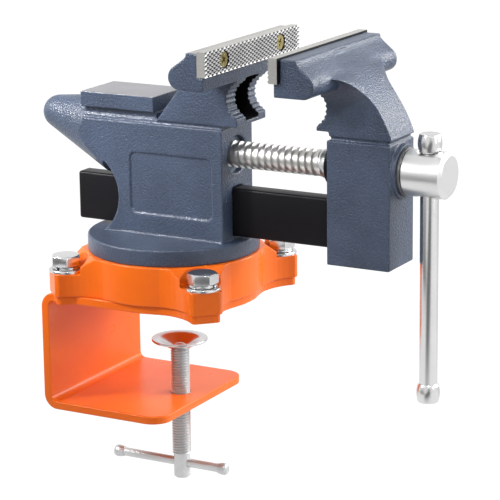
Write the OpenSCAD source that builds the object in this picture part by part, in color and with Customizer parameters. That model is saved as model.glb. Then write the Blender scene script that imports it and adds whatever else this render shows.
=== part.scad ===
// Bench vise with an anvil, pipe jaws, a swivel base and a clamp for the bench's edge.
// Millimetres, +Z up. The origin lies on the swivel's axis, in the plane where the clamp
// bracket's top plate rests on the bench. +X runs along the slide towards the moving jaw.

/* [Jaws] */
// Width of both jaws
jaw_w = 115; // [90:1:150]
// How far the moving jaw's plate reaches past its head on each side
moving_head_inset = 3; // [0:0.5:4]
// Height of the flat jaw plates
jaw_plate_h = 14.8; // [12:0.2:20]
// Thickness of the flat jaw plates
jaw_plate_t = 6; // [4:0.5:9]
// How far the plates stand in front of the castings below them
jaw_proud = 2; // [1:0.5:3]
// Distance between the gripping faces at rest
jaw_gap = 40; // [20:1:60]
// Height of the jaw heads
head_h = 23.1; // [20:0.5:30]
// Depth of the fixed head's flat top behind its plate
fixed_top_d = 7.6; // [6:0.2:14]
// Depth of the moving head's flat top behind its plate
moving_top_d = 10.5; // [8:0.1:16]
// Depth of the roll behind the fixed head's flat top
fixed_roll_d = 12; // [10:0.1:18]
// Depth of the roll behind the moving head's flat top
moving_roll_d = 11.1; // [10:0.1:18]
// How far the heads' tops lie below the plates' tops
head_drop = 1; // [0:0.1:2]
// Radius of that roll
head_roll_r = 7.2; // [6:0.2:9]
// Radius of the pipe jaws
pipe_r = 12.6; // [9:0.2:14]
// Height of the pipe jaws' teeth
pipe_tooth_h = 1.3; // [0.6:0.1:2]
// Number of teeth in a full round of the pipe jaws
pipe_teeth = 24; // [18:1:36]
// Width of the gap between the near and the far pipe teeth
pipe_slot_w = 13; // [8:0.5:18]
// Depth of the fixed pipe jaw behind its gripping face
fixed_pipe_set = 10.2; // [8:0.2:12]
// Depth of the moving pipe jaw behind its gripping face
moving_pipe_set = 16; // [14:0.2:18]

/* [Fixed body] */
// Width of the body between its side faces
body_w = 38; // [32:1:50]
// Distance from the swivel's axis to the body's front face
body_front = 45.5; // [40:0.5:55]
// Distance from the body's front face to the gripping face
face_reach = 12.5; // [10:0.5:18]
// Height of the body's side faces above the disc
body_h = 69.2; // [60:0.5:90]
// Height of the groove between the side faces and the neck
groove_h = 2.4; // [1.5:0.1:4]
// Depth of that groove
groove_d = 1; // [0.5:0.1:3]
// Height of the neck between the groove and the head
neck_h = 27.9; // [24:0.1:34]
// Width of the fixed jaw's neck
neck_w = 36; // [30:0.5:38]
// Radius of the hollow in the body's back
back_r = 27.8; // [24:0.2:32]
// Distance from the swivel's axis to the body's waist
waist_back = 27.7; // [22:0.1:32]
// Depth of the recessed side panels
panel_d = 1; // [0.4:0.1:2]
// Corner radius of the side panels
panel_r = 4; // [2:0.5:8]

/* [Anvil and horn] */
// Length of the anvil's top plate
anvil_l = 51.5; // [40:0.5:60]
// Thickness of the anvil's top plate
anvil_t = 9.2; // [6:0.2:12]
// Distance from the swivel's axis to the anvil plate's outer end
anvil_back = 53; // [46:0.5:62]
// Height of the neck under the anvil's top plate
anvil_neck_h = 4.9; // [3:0.1:8]
// Distance from the anvil plate's end to the middle of the horn's rounded tip
horn_l = 28; // [20:0.5:40]
// Radius of the horn's rounded tip
horn_tip_r = 10.4; // [7:0.2:13]
// Drop of the horn's tip below the body's shoulder
horn_tip_drop = 1.8; // [0:0.1:4]
// Drop of the horn's axis below the body's shoulder at its root
horn_root_drop = 7.8; // [6:0.1:10]

/* [Swivel and base] */
// Diameter of the swivel disc under the body
disc_d = 105.8; // [96:0.2:109]
// Thickness of the swivel disc
disc_h = 10.3; // [8:0.1:14]
// Diameter of the base's ring
ring_d = 110; // [107:1:120]
// Height of the base's ring
ring_h = 24.2; // [20:0.2:32]
// Height of the base's lugs
lug_h = 14.2; // [10:0.2:18]
// Distance from the base bolts' axes to the lugs' ends
lug_end = 9.1; // [8:0.1:14]
// Width of the lugs
lug_w = 20; // [18:0.5:26]
// Radius of the hollows between the lugs and the ring
lug_fillet_r = 30; // [15:1:40]
// Diameter of the circle of base bolts
bolt_circle_d = 135.8; // [132:0.2:140]
// Radius of the pockets around the base bolts
bolt_pocket_r = 13.6; // [12.5:0.1:15]
// Thread diameter of the base bolts and the swivel bolt
bolt_d = 10; // [6:1:12]
// Radius of the hub that the swivel turns on
hub_r = 15; // [12:0.5:20]
// Thickness of the base's deck under the disc
deck_t = 8; // [6:0.5:10]

/* [Slide bar] */
// Width of the slide bar
bar_w = 12; // [10:0.5:16]
// Height of the slide bar
bar_h = 30; // [24:0.5:34]
// Length of the slide bar behind the swivel's axis
bar_tail = 65; // [50:1:80]
// Height of the slide bar above the disc
bar_lift = 2; // [1:0.1:4]
// Diameter of the pins that hold the slide bar in the moving jaw
bar_pin_d = 5; // [4:0.5:6]

/* [Moving jaw] */
// Length of the block that carries the screw
block_l = 40.5; // [34:0.5:50]
// Width of that block
block_w = 33; // [28:0.5:38]
// How far the block reaches below the disc's top
block_drop = 5.2; // [0:0.2:8]
// Radius of the arm's outer curve
arm_r = 77.8; // [74:0.2:82]
// Lean of the arm's back at the groove
arm_lean = 18.8; // [16:0.2:22]
// Width of the arm above the block
arm_w = 31; // [26:0.2:34]
// Radius of the hollow where the arm widens into the head
arm_flare_r = 20; // [14:0.5:30]
// Radius of the boss around the screw
boss_r = 16.2; // [15:0.1:16.5]
// Height of that boss
boss_h = 3; // [1:0.2:4]

/* [Lead screw] */
// Height of the screw's axis above the disc
screw_rise = 51.7; // [46:0.1:54]
// Outside diameter of the screw's thread
screw_d = 16.2; // [14:0.2:18]
// Pitch of the screw's thread
screw_pitch = 4.5; // [3:0.5:6]
// Depth of the screw's thread
screw_thread_h = 1.7; // [1:0.1:2]
// Length of the thread behind the body's front face
screw_tail = 57.5; // [50:0.5:59]
// Outside diameter of the nut in the body
nut_d = 23; // [21:0.5:26]
// Length of the nut
nut_l = 18; // [14:0.5:22]
// Depth of the nut behind the body's front face
nut_set = 3.5; // [1:0.5:6]
// Diameter of the screw's head
screw_head_d = 27.6; // [25:0.2:30]
// Length of the screw's head
screw_head_l = 25.5; // [22:0.5:30]
// Diameter of the black ring at the moving jaw's inner face
ring_seal_d = 25; // [22:0.5:28]

/* [Handle] */
// Diameter of the handle's rod
handle_d = 11; // [8:0.5:12]
// Length of the handle with its knobs
handle_l = 161; // [120:1:200]
// Greatest diameter of the knobs
knob_d = 14.2; // [13:0.2:17]
// Length of each knob
knob_l = 11.5; // [9:0.5:14]

/* [Clamp] */
// Thickness of the bracket's sheet
sheet_t = 5; // [4:0.5:8]
// Free height between the top plate and the bottom plate
throat_h = 64.5; // [45:0.5:80]
// Width of the bracket's wall and bottom plate
bracket_w = 106; // [80:1:120]
// Distance from the swivel's axis to the wall's outer face
wall_back = 64; // [62.5:0.5:66]
// Distance from the swivel's axis to the bottom plate's free end
foot_reach = 20; // [14:1:40]
// Radius of the bottom plate's corners
foot_corner_r = 12; // [4:1:20]
// Inside radius of the bends
bend_r = 4; // [2:0.5:8]
// Distance from the swivel's axis to the clamp screw
clamp_x = 2.7; // [0:0.1:6]
// Outside diameter of the clamp screw's thread
clamp_d = 12; // [10:1:14]
// Pitch of the clamp screw's thread
clamp_pitch = 1.75; // [1.5:0.25:2.5]
// Height of the pad's rim below the bench's plane at rest
pad_down = 29.3; // [25:0.1:35]
// Diameter of the pad
pad_d = 35; // [28:1:40]
// Height of the pad's dish
pad_dish_h = 4.6; // [3:0.2:6]
// Depth of the cross bar below the bench's plane
tbar_down = 111; // [109:0.5:120]
// Diameter of the cross bar
tbar_d = 5.5; // [4:0.5:6]
// Length of the cross bar with its knobs
tbar_l = 82.4; // [60:0.2:100]
// Distance from the screw's axis to the cross bar's middle
tbar_off = 8.2; // [0:0.2:12]

/* [Hidden] */
$fn = 64;

// Colours
paint = "#55607a";
powder = "#f26f2c";
black_bar = "#26252a";
steel = "#c9cbcd";
plate_grey = "#b9b7b2";
zinc = "#c3c7cb";
brass = "#a08a3c";

// Clearances and the overrun of every cut
run_fit = 0.05;
slide_fit = 0.15;
drill_fit = 0.4;
over = 1;
edge = 0.8;

// Heights
z_plate = sheet_t;
z_lug = z_plate + lug_h;
z_ring = z_plate + ring_h;
z_disc = z_ring + disc_h;
z_bar = z_disc + bar_lift;
z_screw = z_disc + screw_rise;
z_shoulder = z_disc + body_h;
z_neck = z_shoulder + groove_h;
z_head = z_neck + neck_h;
z_top = z_head + head_h;
z_block = z_disc - block_drop;
z_foot = -throat_h - sheet_t;

// Places along the slide
x_face = body_front + face_reach;
x_moving_face = x_face + jaw_gap;
x_block = x_moving_face + moving_pipe_set;
x_block_end = x_block + block_l;
x_boss = x_block_end + boss_h;
x_nut_end = body_front - nut_set;
x_nut = x_nut_end - nut_l;
x_thread = body_front - screw_tail;

// Reach of the lugs from the swivel's axis
lug_reach = bolt_circle_d / 2 + lug_end;

// Heads: the underside's ledge, the lip above the roll, the slope's shares of the roll
ledge_h = head_h - jaw_plate_h;
lip_h = 4.2;
roll_slope_share = 0.62;

// Pipe jaws: height of their middle above the neck's foot, lip, and slot behind the teeth
pipe_rise = 15.9;
pipe_lip_set = 2.4;
moving_lip_set = 8.9;
moving_lip_rise = 2.4;
pipe_slot_d = 5;
pipe_lip_t = 2.8;

// Plate screws
screw_share = 0.3;
plate_screw_head_r = 4.8;
plate_screw_r = 3;
screw_sink = 0.4;
plate_screw_l = jaw_plate_t + fixed_top_d - edge;

// Neck of the fixed jaw: where its back starts and ends, behind the gripping face
neck_back = 58;
neck_top_back = 36;

// Side panel: its place and size on the side faces
panel_front_set = 7;
panel_l = 57.4;
panel_foot = 13.2;
panel_h = 37.9;

// Waist's height above the disc, and the slope under the horn
waist_rise = 22;
horn_slope = 29.4;

// Anvil neck
anvil_neck_set = 3;

// Swivel hardware
swivel_washer_r = 20;
swivel_washer_t = 2.5;
deck_gap = 0.1;
hollow_wall = 8;
swivel_thread_l = 9.6;

// Arm of the moving jaw: how far its foot stands beyond the block's outer face
arm_out = 1;
flare_drop = 11;

// Bolts and washers
bolt_af = 16.6;
bolt_head_h = 6.4;
flat_r = 10.6;
flat_t = 1.8;
spring_r = 8.6;
spring_t = 2;
spring_split = 1.6;
plate_inset = 1.2;
lug_corner_share = 0.2;
ring_tuck = 0.5;
fillet_steps = 8;

// Lead screw's journal, collar and rings
journal_d = 16.8;
journal_fit = 0.1;
collar_r = 10;
collar_neck_r = 8.7;
collar_l = 4.6;
seal_t = 2.2;
inner_washer_t = 2;
inner_washer_r = 12;
axial_gap = 0.1;
thrust_t = 1.9;
thrust_r = 14.4;
head_chamfer = 2;
spot_r = 7.4;
spot_d = 1.6;
nut_screw_d = 6;
nut_screw_l = 7;

// Slide bar in the block
bar_seat = 32;
bar_chamfer = 1.2;
pin_first = 10;
pin_pitch = 15;
pin_l = 24;

// Handle knobs
knob_end_r = 5.9;
knob_socket_l = 7;

// Clamp pad, screw and cross bar
pad_sheet = 1.5;
pad_rim_w = 4.6;
pad_rim_rise = 0.8;
pad_floor_r = 5.6;
clamp_thread_h = 0.95;
clamp_neck_r = 4;
rivet_r = 5;
rivet_h = 2;
rivet_shank_r = 2.5;
rivet_shank_l = 8;
clamp_head_r = 5.2;
clamp_head_up = 7;
clamp_head_down = 9.5;
tbar_fit = 0.1;
tbar_knob_r = 3.8;
tbar_knob_l = 7;

// Extrudes an outline drawn in X and Z across the vise, centred on its middle plane
module across(w) {
    rotate([90, 0, 0])
        linear_extrude(height = w, center = true)
            children();
}

// Turns what is drawn along +Z so that it runs along +X
module along_x(x, z) {
    translate([x, 0, z])
        rotate([0, 90, 0])
            children();
}

module box(x0, x1, w, z0, z1) {
    translate([x0, -w / 2, z0])
        cube([x1 - x0, w, z1 - z0]);
}

// Outline of a box with four round corners
module round_box(x0, y0, x1, y1, r) {
    translate([x0 + r, y0])
        square([x1 - x0 - 2 * r, y1 - y0]);
    translate([x0, y0 + r])
        square([x1 - x0, y1 - y0 - 2 * r]);
    for (x = [x0 + r, x1 - r], y = [y0 + r, y1 - r])
        translate([x, y])
            circle(r = r);
}

// Cylinder with a chamfer at its far end, or at both ends
module turned(r, h, c, both = false) {
    c0 = both ? c : 0;
    rotate_extrude()
        polygon([[0, 0], [r - c0, 0], [r, c0], [r, h - c], [r - c, h], [0, h]]);
}

module ring(outer, inner, h) {
    difference() {
        cylinder(r = outer, h = h);
        translate([0, 0, -over])
            cylinder(r = inner, h = h + 2 * over);
    }
}

module hex_head(af, h) {
    corner = af / 2 / cos(30);
    intersection() {
        cylinder(r = corner, h = h, $fn = 6);
        cylinder(r1 = corner + h - edge, r2 = corner - edge, h = h);
    }
}

// Rod with a ring for each turn of its thread, from z = 0 up
module threaded(d, depth, pitch, len, crest_share, root_share) {
    turns = floor(len / pitch);
    flank = pitch * (1 - crest_share - root_share) / 2;
    root = d / 2 - depth;
    turn = [
        [root, 0], [d / 2, flank], [d / 2, flank + pitch * crest_share],
        [root, 2 * flank + pitch * crest_share]
    ];
    rotate_extrude()
        polygon(concat(
            [[0, 0]],
            [for (i = [0:turns - 1], p = turn) [p[0], p[1] + i * pitch]],
            [[root, len], [0, len]]
        ));
}

// Outline of a jaw head: u runs back from the plate's back, v up from the underside
module head_outline(top_d, roll_d) {
    roll_u = top_d + roll_d - head_roll_r;
    ledge_u = jaw_plate_t - jaw_proud;
    top_v = head_h - head_drop;
    slope_u = roll_u + head_roll_r * cos(90 * roll_slope_share);
    slope_v = head_roll_r + head_roll_r * sin(90 * roll_slope_share);
    polygon([
        [-ledge_u, 0], [-ledge_u, ledge_h], [0, ledge_h], [0, top_v],
        [top_d, top_v], [top_d, top_v - lip_h / 2], [top_d + lip_h / 2, top_v - lip_h],
        [slope_u, slope_v], [roll_u, head_roll_r], [roll_u, 0]
    ]);
    translate([roll_u, head_roll_r])
        circle(r = head_roll_r);
}

// Toothed round of a pipe jaw, centred on its own axis
module pipe_outline() {
    step = 180 / pipe_teeth;
    polygon([
        for (i = [0:2 * pipe_teeth - 1])
            (pipe_r - (i % 2) * pipe_tooth_h) * [cos(i * step), sin(i * step)]
    ]);
}

// Room for the pipe and the slot between its near and far teeth, open towards dir
module pipe_cut(x, z, lip_z, w) {
    translate([x, 0, z])
        across(w)
            pipe_outline();
    intersection() {
        translate([x, 0, z])
            across(pipe_slot_w)
                circle(r = pipe_r + pipe_slot_d);
        box(x - 2 * pipe_r, x + 2 * pipe_r, pipe_slot_w, lip_z, z + pipe_r);
    }
}

// A lug's side from the ring to its end face: a hollow arc, then the corner
function lug_side(r, half, fillet, reach, corner) =
    let(
        cy = half + fillet,
        cx = sqrt(pow(r + fillet, 2) - pow(cy, 2)),
        a0 = 180 + atan(cy / cx),
        a1 = 270 - asin(max(0, cx - reach + corner) / fillet),
        y = cy + fillet * sin(a1)
    )
    concat(
        [
            for (i = [0:fillet_steps - 1])
                let(a = a0 + (a1 - a0) * i / fillet_steps)
                [cx + fillet * cos(a), cy + fillet * sin(a)]
        ],
        [[reach - corner, y], [reach, y - corner]]
    );

function turned_point(p, a) = [p[0] * cos(a) - p[1] * sin(a), p[0] * sin(a) + p[1] * cos(a)];

// Outline of the base with its four lugs, drawn in by an inset
module base_outline(inset) {
    r = ring_d / 2 - ring_tuck - inset;
    half = lug_w / 2 - inset;
    side = lug_side(r, half, lug_fillet_r + inset, lug_reach - inset, half * lug_corner_share);
    first = atan(side[0][1] / side[0][0]);
    polygon([
        for (a = [45:90:315], p = concat(
            [for (p = side) [p[0], -p[1]]],
            [for (i = [len(side) - 1:-1:0]) side[i]],
            [for (i = [1:3]) r * [cos(first + (90 - 2 * first) * i / 4), sin(first + (90 - 2 * first) * i / 4)]]
        ))
            turned_point(p, a)
    ]);
}

module at_bolt(i) {
    rotate(45 + 90 * i)
        translate([bolt_circle_d / 2, 0, 0])
            rotate(-45 - 90 * i)
                children();
}

// Base casting: ring, lugs that slope down from it, hollow below. The pockets around the
// bolts mill the lugs down to their seats
module swivel_base() {
    slope_z = 2 * z_lug - z_ring;
    color(powder)
        difference() {
            union() {
                translate([0, 0, z_plate])
                    linear_extrude(height = lug_h + edge)
                        base_outline(0);
                translate([0, 0, z_plate])
                    cylinder(d = ring_d, h = ring_h, $fn = 96);
                intersection() {
                    translate([0, 0, z_plate])
                        linear_extrude(height = ring_h)
                            base_outline(0);
                    for (a = [45:90:315])
                        rotate(a)
                            across(2 * lug_fillet_r)
                                polygon([
                                    [0, slope_z], [0, z_ring], [ring_d / 2 - edge, z_ring],
                                    [bolt_circle_d - ring_d / 2 + edge, slope_z]
                                ]);
                }
            }
            for (i = [0:3])
                at_bolt(i) {
                    translate([0, 0, z_lug])
                        cylinder(r = bolt_pocket_r, h = ring_h);
                    translate([0, 0, z_plate - over])
                        cylinder(d = bolt_d + 2 * drill_fit, h = ring_h);
                }
            translate([0, 0, z_plate - over])
                cylinder(r = ring_d / 2 - hollow_wall, h = ring_h - deck_t + over);
            translate([0, 0, z_plate])
                cylinder(r = hub_r, h = ring_h + over);
        }
}

// Bent sheet: top plate under the base, wall, bottom plate with the tapped hole
module clamp_bracket() {
    outer_r = bend_r + sheet_t;
    far_x = foot_reach + 2 * outer_r;
    color(powder)
        difference() {
            union() {
                linear_extrude(height = sheet_t)
                    base_outline(plate_inset);
                intersection() {
                    across(bracket_w)
                        difference() {
                            round_box(-wall_back, z_foot, far_x, z_plate, outer_r);
                            round_box(sheet_t - wall_back, -throat_h, far_x + outer_r, 0, bend_r);
                        }
                    union() {
                        translate([0, 0, z_foot - over])
                            linear_extrude(height = throat_h + over)
                                round_box(-wall_back - over - foot_corner_r, -bracket_w / 2, foot_reach,
                                    bracket_w / 2, foot_corner_r);
                        box(-wall_back - over, 0, bracket_w, -sheet_t - bend_r, z_plate);
                    }
                }
            }
            for (i = [0:3])
                at_bolt(i)
                    translate([0, 0, -over])
                        cylinder(d = bolt_d, h = sheet_t + 2 * over);
            translate([clamp_x, 0, z_foot - over])
                cylinder(d = clamp_d + 2 * run_fit, h = sheet_t + 2 * over);
        }
}

module base_flat_washer(i) {
    color(zinc)
        at_bolt(i)
            translate([0, 0, z_lug])
                ring(flat_r, bolt_d / 2 + drill_fit, flat_t);
}

module base_spring_washer(i) {
    color(zinc)
        at_bolt(i)
            translate([0, 0, z_lug + flat_t])
                difference() {
                    ring(spring_r, bolt_d / 2 + drill_fit, spring_t);
                    translate([0, -spring_split / 2, -over])
                        cube([spring_r + over, spring_split, spring_t + 2 * over]);
                }
}

module base_bolt(i) {
    under_head = z_lug + flat_t + spring_t;
    color(zinc)
        at_bolt(i) {
            translate([0, 0, edge / 2])
                cylinder(d = bolt_d, h = under_head - edge / 2);
            translate([0, 0, under_head])
                hex_head(bolt_af, bolt_head_h);
        }
}

// Side view of the body from the disc to the shoulder, with the hollow of its back
module body_outline() {
    cx = -waist_back - back_r;
    cz = z_disc + waist_rise;
    sx = cx + back_r * sin(horn_slope);
    sz = cz + back_r * cos(horn_slope);
    root_x = edge - anvil_back;
    difference() {
        polygon([
            [sx, z_disc], [body_front, z_disc], [body_front, z_shoulder], [root_x, z_shoulder],
            [root_x, sz + (sx - root_x) * tan(horn_slope)], [sx, sz]
        ]);
        translate([cx, cz])
            circle(r = back_r, $fn = 96);
    }
}

// Horn: a rounded cone that leans down towards the body and dies into its back
module horn() {
    tip_x = -anvil_back - horn_l;
    tip_z = z_shoulder - horn_tip_drop;
    run = horn_l + edge;
    fall = horn_root_drop - horn_tip_drop;
    span = sqrt(run * run + fall * fall);
    half_angle = asin((body_w / 2 - horn_tip_r) / span);
    start = horn_tip_r * sin(half_angle);
    reach = 1.6 * span;
    r0 = horn_tip_r * cos(half_angle);
    r1 = r0 + (reach + start) * tan(half_angle);
    end_x = 2 * edge - anvil_back;
    intersection() {
        translate([tip_x, 0, tip_z]) {
            sphere(r = horn_tip_r, $fn = 96);
            rotate([0, 90 + atan(fall / run), 0])
                translate([0, 0, -start])
                    cylinder(r1 = r0, r2 = r1, h = reach + start, $fn = 96);
        }
        union() {
            box(tip_x - horn_l, end_x, body_w, z_disc, z_top);
            box(tip_x, -waist_back, body_w, z_disc, z_shoulder);
        }
    }
}

// Neck of the fixed jaw in side view, from the groove up into the head
module neck_outline() {
    lip_x = x_face - pipe_lip_set;
    plate_x = x_face - jaw_plate_t;
    back_x = x_face - neck_back;
    top_x = x_face - neck_top_back;
    polygon([
        [back_x, z_neck], [lip_x, z_neck], [lip_x, z_head], [plate_x, z_head + ledge_h],
        [plate_x - fixed_top_d - fixed_roll_d + head_roll_r, z_head + 2 * head_roll_r],
        [plate_x - fixed_top_d - fixed_roll_d, z_head + head_roll_r], [top_x, z_head]
    ]);
}

module plate_screw_holes(x, dir, depth) {
    for (side = [-1, 1])
        translate([x, side * screw_share * jaw_w, z_top - jaw_plate_h / 2])
            rotate([0, 90 * dir, 0])
                cylinder(r = plate_screw_r, h = depth);
}

// Fixed casting: disc, body, horn, anvil, neck and head in one piece
module fixed_jaw_body() {
    plate_x = x_face - jaw_plate_t;
    anvil_front = anvil_l - anvil_back;
    pipe_z = z_neck + pipe_rise;
    color(paint)
        difference() {
            union() {
                translate([0, 0, z_ring])
                    turned(disc_d / 2, disc_h, edge);
                translate([0, 0, z_ring - deck_t + deck_gap])
                    cylinder(r = hub_r - run_fit, h = deck_t);
                across(body_w)
                    body_outline();
                horn();
                box(edge - anvil_back, body_front - edge, neck_w - 2 * groove_d, z_shoulder - over, z_neck);
                box(edge - anvil_back, anvil_front + edge, body_w - 2 * anvil_neck_set, z_neck,
                    z_neck + anvil_neck_h);
                box(-anvil_back, anvil_front, body_w, z_neck + anvil_neck_h,
                    z_neck + anvil_neck_h + anvil_t);
                across(neck_w)
                    neck_outline();
                translate([plate_x, 0, z_head])
                    mirror([1, 0, 0])
                        across(jaw_w)
                            head_outline(fixed_top_d, fixed_roll_d);
            }
            pipe_cut(x_face - fixed_pipe_set + pipe_r, pipe_z, z_neck + pipe_lip_t, neck_w + over);
            box(-anvil_back - over, body_front + over, bar_w + 2 * slide_fit, z_bar - slide_fit,
                z_bar + bar_h + slide_fit);
            along_x(x_thread - jaw_gap - over, z_screw)
                cylinder(d = screw_d + 4 * slide_fit, h = body_front - x_thread + jaw_gap + 2 * over);
            along_x(x_nut, z_screw)
                cylinder(d = nut_d, h = body_front - x_nut + over);
            translate([(x_nut + x_nut_end) / 2, 0, z_screw])
                rotate([-90, 0, 0])
                    cylinder(d = nut_screw_d, h = body_w);
            for (side = [-1, 1])
                translate([0, side * (body_w / 2 - panel_d + over), 0])
                    across(2 * over)
                        round_box(body_front - panel_front_set - panel_l, z_disc + panel_foot,
                            body_front - panel_front_set, z_disc + panel_foot + panel_h, panel_r);
            translate([0, 0, z_plate])
                cylinder(d = bolt_d, h = ring_h + swivel_thread_l);
            plate_screw_holes(plate_x, -1, plate_screw_l - jaw_plate_t + edge);
        }
}

// Flat jaw plate with its countersunk holes; dir is the side that it grips on
module jaw_plate(back_x, dir) {
    color(plate_grey)
        difference() {
            translate([dir > 0 ? back_x : back_x - jaw_plate_t, -jaw_w / 2, z_top - jaw_plate_h])
                cube([jaw_plate_t, jaw_w, jaw_plate_h]);
            for (side = [-1, 1])
                translate([back_x, side * screw_share * jaw_w, z_top - jaw_plate_h / 2])
                    rotate([0, 90 * dir, 0]) {
                        translate([0, 0, -over])
                            cylinder(r = plate_screw_r + drill_fit / 2, h = jaw_plate_t + 2 * over);
                        translate([0, 0, jaw_plate_t - screw_sink - plate_screw_head_r + plate_screw_r])
                            cylinder(r1 = plate_screw_r + drill_fit / 2, r2 = plate_screw_head_r + drill_fit / 2,
                                h = plate_screw_head_r - plate_screw_r);
                        translate([0, 0, jaw_plate_t - screw_sink])
                            cylinder(r = plate_screw_head_r + drill_fit / 2, h = screw_sink + over);
                    }
        }
}

// Countersunk screw with a cross recess; its head looks towards dir
module plate_screw(back_x, dir, side) {
    cone_h = plate_screw_head_r - plate_screw_r;
    head_z = jaw_plate_t - screw_sink;
    recess_w = plate_screw_r / 3;
    color(brass)
        translate([back_x, side * screw_share * jaw_w, z_top - jaw_plate_h / 2])
            rotate([0, 90 * dir, 0])
                difference() {
                    union() {
                        translate([0, 0, head_z - plate_screw_l])
                            cylinder(r = plate_screw_r, h = plate_screw_l);
                        translate([0, 0, head_z - cone_h])
                            cylinder(r1 = plate_screw_r, r2 = plate_screw_head_r, h = cone_h);
                    }
                    for (a = [45, 135])
                        rotate(a)
                            translate([-plate_screw_r, -recess_w / 2, head_z - cone_h])
                                cube([2 * plate_screw_r, recess_w, cone_h + over]);
                }
}

module fixed_jaw_plate() {
    jaw_plate(x_face - jaw_plate_t, 1);
}

module moving_jaw_plate() {
    jaw_plate(x_moving_face + jaw_plate_t, -1);
}

module lead_nut() {
    color(brass)
        along_x(x_nut, z_screw)
            difference() {
                cylinder(d = nut_d, h = nut_l);
                translate([0, 0, -over])
                    cylinder(d = screw_d + 2 * run_fit, h = nut_l + 2 * over);
            }
}

module lead_nut_screw() {
    color(steel)
        translate([(x_nut + x_nut_end) / 2, nut_d / 2, z_screw])
            rotate([-90, 0, 0])
                difference() {
                    cylinder(d = nut_screw_d, h = nut_screw_l);
                    translate([0, 0, nut_screw_l / 2])
                        cylinder(d = nut_screw_d / 2, h = nut_screw_l, $fn = 6);
                }
}

module swivel_washer() {
    top = z_ring - deck_t;
    color(zinc)
        translate([0, 0, top - swivel_washer_t])
            ring(swivel_washer_r, bolt_d / 2 + drill_fit / 2, swivel_washer_t);
}

module swivel_bolt() {
    seat = z_ring - deck_t - swivel_washer_t;
    color(zinc) {
        translate([0, 0, seat])
            cylinder(d = bolt_d, h = z_ring + swivel_thread_l - edge - seat);
        translate([0, 0, seat])
            mirror([0, 0, 1])
                hex_head(bolt_af, bolt_head_h);
    }
}

// Arm of the moving jaw in side view, from the groove up into the head
module arm_outline() {
    plate_x = x_moving_face + jaw_plate_t;
    lip_x = x_moving_face + moving_lip_set;
    front_x = x_block + edge;
    foot_x = x_block_end + arm_out;
    arm_top = z_top - head_drop - lip_h;
    intersection() {
        polygon([
            [front_x, z_neck], [foot_x, z_neck], [foot_x, arm_top],
            [plate_x + moving_top_d, arm_top], [plate_x, z_head + ledge_h],
            [x_moving_face + jaw_proud, z_head], [lip_x, z_head], [lip_x, z_neck + moving_lip_rise],
            [front_x, z_neck + moving_lip_rise]
        ]);
        translate([foot_x - arm_r * cos(arm_lean), z_neck - arm_r * sin(arm_lean)])
            circle(r = arm_r, $fn = 128);
    }
}

// The arm's back widens in a hollow on both sides as it runs into the head
module arm_flare() {
    foot_z = z_head - flare_drop;
    intersection() {
        across(arm_w + 2 * arm_flare_r)
            arm_outline();
        difference() {
            box(x_moving_face, x_block_end + arm_r, arm_w + 2 * arm_flare_r, foot_z, foot_z + arm_flare_r);
            for (side = [-1, 1])
                translate([0, side * (arm_w / 2 + arm_flare_r), foot_z])
                    rotate([0, 90, 0])
                        cylinder(r = arm_flare_r, h = x_block_end + arm_r);
        }
    }
}

// Moving casting: block, boss, arm and head in one piece
module moving_jaw_casting() {
    plate_x = x_moving_face + jaw_plate_t;
    pipe_z = z_neck + pipe_rise;
    color(paint)
        difference() {
            union() {
                box(x_block, x_block_end, block_w, z_block, z_shoulder);
                box(x_block + edge + groove_d, x_block_end - groove_d, arm_w - 2 * groove_d,
                    z_shoulder - over, z_neck + over);
                across(arm_w)
                    arm_outline();
                arm_flare();
                translate([plate_x, 0, z_head])
                    across(jaw_w - 2 * moving_head_inset)
                        head_outline(moving_top_d, moving_roll_d);
                along_x(x_block_end - over, z_screw)
                    cylinder(r = boss_r, h = boss_h + over);
            }
            pipe_cut(x_moving_face + moving_pipe_set - pipe_r, pipe_z,
                z_neck + moving_lip_rise + pipe_lip_t, neck_w + over);
            box(x_block - over, x_block + bar_seat, bar_w, z_bar, z_bar + bar_h);
            along_x(x_block - over, z_screw)
                cylinder(d = journal_d + 2 * journal_fit, h = block_l + boss_h + 2 * over);
            for (i = [0, 1])
                translate([x_block + pin_first + i * pin_pitch, 0, z_block - over])
                    cylinder(d = bar_pin_d, h = pin_l + over);
            plate_screw_holes(plate_x, 1, plate_screw_l - jaw_plate_t + edge);
        }
}

// Slide bar: a flat bar on edge, pinned in the block and sliding through the body
module slide_bar() {
    color(black_bar)
        difference() {
            across(bar_w)
                polygon([
                    [-bar_tail, z_bar + bar_chamfer], [bar_chamfer - bar_tail, z_bar],
                    [x_block + bar_seat, z_bar], [x_block + bar_seat, z_bar + bar_h],
                    [bar_chamfer - bar_tail, z_bar + bar_h], [-bar_tail, z_bar + bar_h - bar_chamfer]
                ]);
            for (i = [0, 1])
                translate([x_block + pin_first + i * pin_pitch, 0, z_block - over])
                    cylinder(d = bar_pin_d, h = pin_l + over);
        }
}

module slide_bar_pin(i) {
    color(steel)
        translate([x_block + pin_first + i * pin_pitch, 0, z_block + edge])
            cylinder(d = bar_pin_d, h = pin_l - edge);
}

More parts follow.
